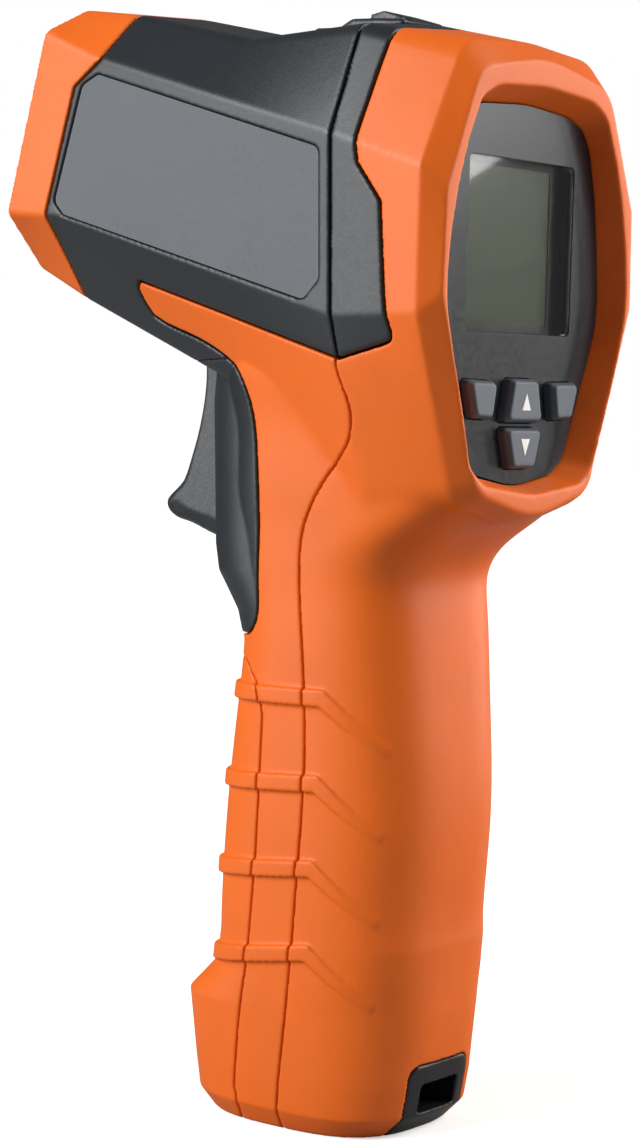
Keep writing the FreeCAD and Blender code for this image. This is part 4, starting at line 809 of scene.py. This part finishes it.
def make_floor(colour):
    """Pale board, seen nearly white, that throws little light back up onto the object."""
    corners = [(x * FLOOR_HALF, y * FLOOR_HALF, 0.0) for x, y in ((-1, -1), (1, -1), (1, 1), (-1, 1))]
    mesh = bpy.data.meshes.new("floor")
    mesh.from_pydata(corners, [], [(0, 1, 2, 3)])
    floor = bpy.data.objects.new("floor", mesh)
    bpy.context.scene.collection.objects.link(floor)
    # Board rolled with emulsion paint: matt and even.
    material, tree, place = new_material("painted board, pale")
    seen = add_node(tree, "ShaderNodeLightPath").outputs["Is Camera Ray"]
    # The board fades into the white backdrop away from the object.
    distance = add_node(tree, "ShaderNodeVectorMath", {"operation": "LENGTH"}, {0: place}).outputs["Value"]
    fade = add_node(tree, "ShaderNodeMapRange", inputs={
        "Value": distance, "From Min": FADE_FROM, "From Max": FADE_TO,
        "To Min": GLOW_NEAR, "To Max": GLOW_FAR})
    glow = add_node(tree, "ShaderNodeMath", {"operation": "MULTIPLY"}, {0: seen, 1: fade.outputs["Result"]})
    reach = add_node(tree, "ShaderNodeMapRange", inputs={"Value": seen, "To Min": FLOOR_REACH, "To Max": 1.0})
    paint = add_node(tree, "ShaderNodeMix", {"data_type": "RGBA"}, {
        0: reach.outputs["Result"], 6: (0.0, 0.0, 0.0, 1.0), 7: colour})
    matt = add_node(tree, "ShaderNodeBsdfDiffuse", inputs={"Color": paint.outputs[2]})
    shine = add_node(tree, "ShaderNodeEmission", inputs={"Strength": glow.outputs[0]})
    both = add_node(tree, "ShaderNodeAddShader", inputs={0: matt.outputs[0], 1: shine.outputs[0]})
    finish_material(tree, both.outputs[0])
    mesh.materials.append(material)


def make_world():
    """Soft grey light all round, white where the camera looks straight at it."""
    world = bpy.data.worlds.new("studio")
    world.use_nodes = True
    tree = world.node_tree
    tree.nodes.clear()
    seen = add_node(tree, "ShaderNodeLightPath").outputs["Is Camera Ray"]
    strength = add_node(tree, "ShaderNodeMapRange", inputs={"Value": seen, "To Min": BOUNCE, "To Max": 1.0})
    light = add_node(tree, "ShaderNodeBackground", inputs={
        "Color": (1.0, 1.0, 1.0, 1.0), "Strength": strength.outputs["Result"]})
    add_node(tree, "ShaderNodeOutputWorld", inputs={"Surface": light.outputs[0]})
    bpy.context.scene.world = world


CAMERA_PLACE = Vector((0.26575, -0.31671, 0.11337))
CAMERA_AZIMUTH = math.radians(40.0)
CAMERA_ELEVATION = math.radians(3.0)
SENSOR_MM = 36.0
LENS_MM = 76.85


def make_camera(scene):
    data = bpy.data.cameras.new("camera")
    data.sensor_width = SENSOR_MM
    data.lens = LENS_MM
    data.clip_start = 0.01
    camera = bpy.data.objects.new("camera", data)
    level = math.cos(CAMERA_ELEVATION)
    look = Vector((-math.sin(CAMERA_AZIMUTH) * level, math.cos(CAMERA_AZIMUTH) * level,
                   -math.sin(CAMERA_ELEVATION)))
    camera.location = CAMERA_PLACE
    camera.rotation_mode = "QUATERNION"
    camera.rotation_quaternion = look.to_track_quat("-Z", "Y")
    scene.collection.objects.link(camera)
    scene.camera = camera


OPERATORS = (THERMO_OT_shell, THERMO_OT_body, THERMO_OT_labels, THERMO_OT_display, THERMO_OT_keys,
             THERMO_OT_inside, THERMO_OT_stage)


class THERMO_PT_panel(bpy.types.Panel):
    """Sidebar list of every piece and setting"""
    bl_idname = "THERMO_PT_panel"
    bl_label = "Infrared thermometer"
    bl_space_type = "VIEW_3D"
    bl_region_type = "UI"
    bl_category = "Thermometer"

    def draw(self, context):
        for operator in OPERATORS:
            self.layout.operator(operator.bl_idname)
        for settings in (context.scene.thermometer_sizes, context.scene.thermometer_colours):
            for name in settings.__annotations__:
                self.layout.prop(settings, name)


CLASSES = (ThermometerColours, ThermometerSizes, *OPERATORS, THERMO_PT_panel)


def register():
    for item in CLASSES:
        bpy.utils.register_class(item)
    bpy.types.Scene.thermometer_colours = bpy.props.PointerProperty(type=ThermometerColours)
    bpy.types.Scene.thermometer_sizes = bpy.props.PointerProperty(type=ThermometerSizes)


def unregister():
    del bpy.types.Scene.thermometer_sizes
    del bpy.types.Scene.thermometer_colours
    for item in reversed(CLASSES):
        bpy.utils.unregister_class(item)


def main():
    register()
    bpy.ops.thermometer.shell()
    bpy.ops.thermometer.body()
    bpy.ops.thermometer.labels()
    bpy.ops.thermometer.display()
    bpy.ops.thermometer.keys()
    bpy.ops.thermometer.inside()
    bpy.ops.thermometer.stage()


if __name__ == "__main__":
    main()
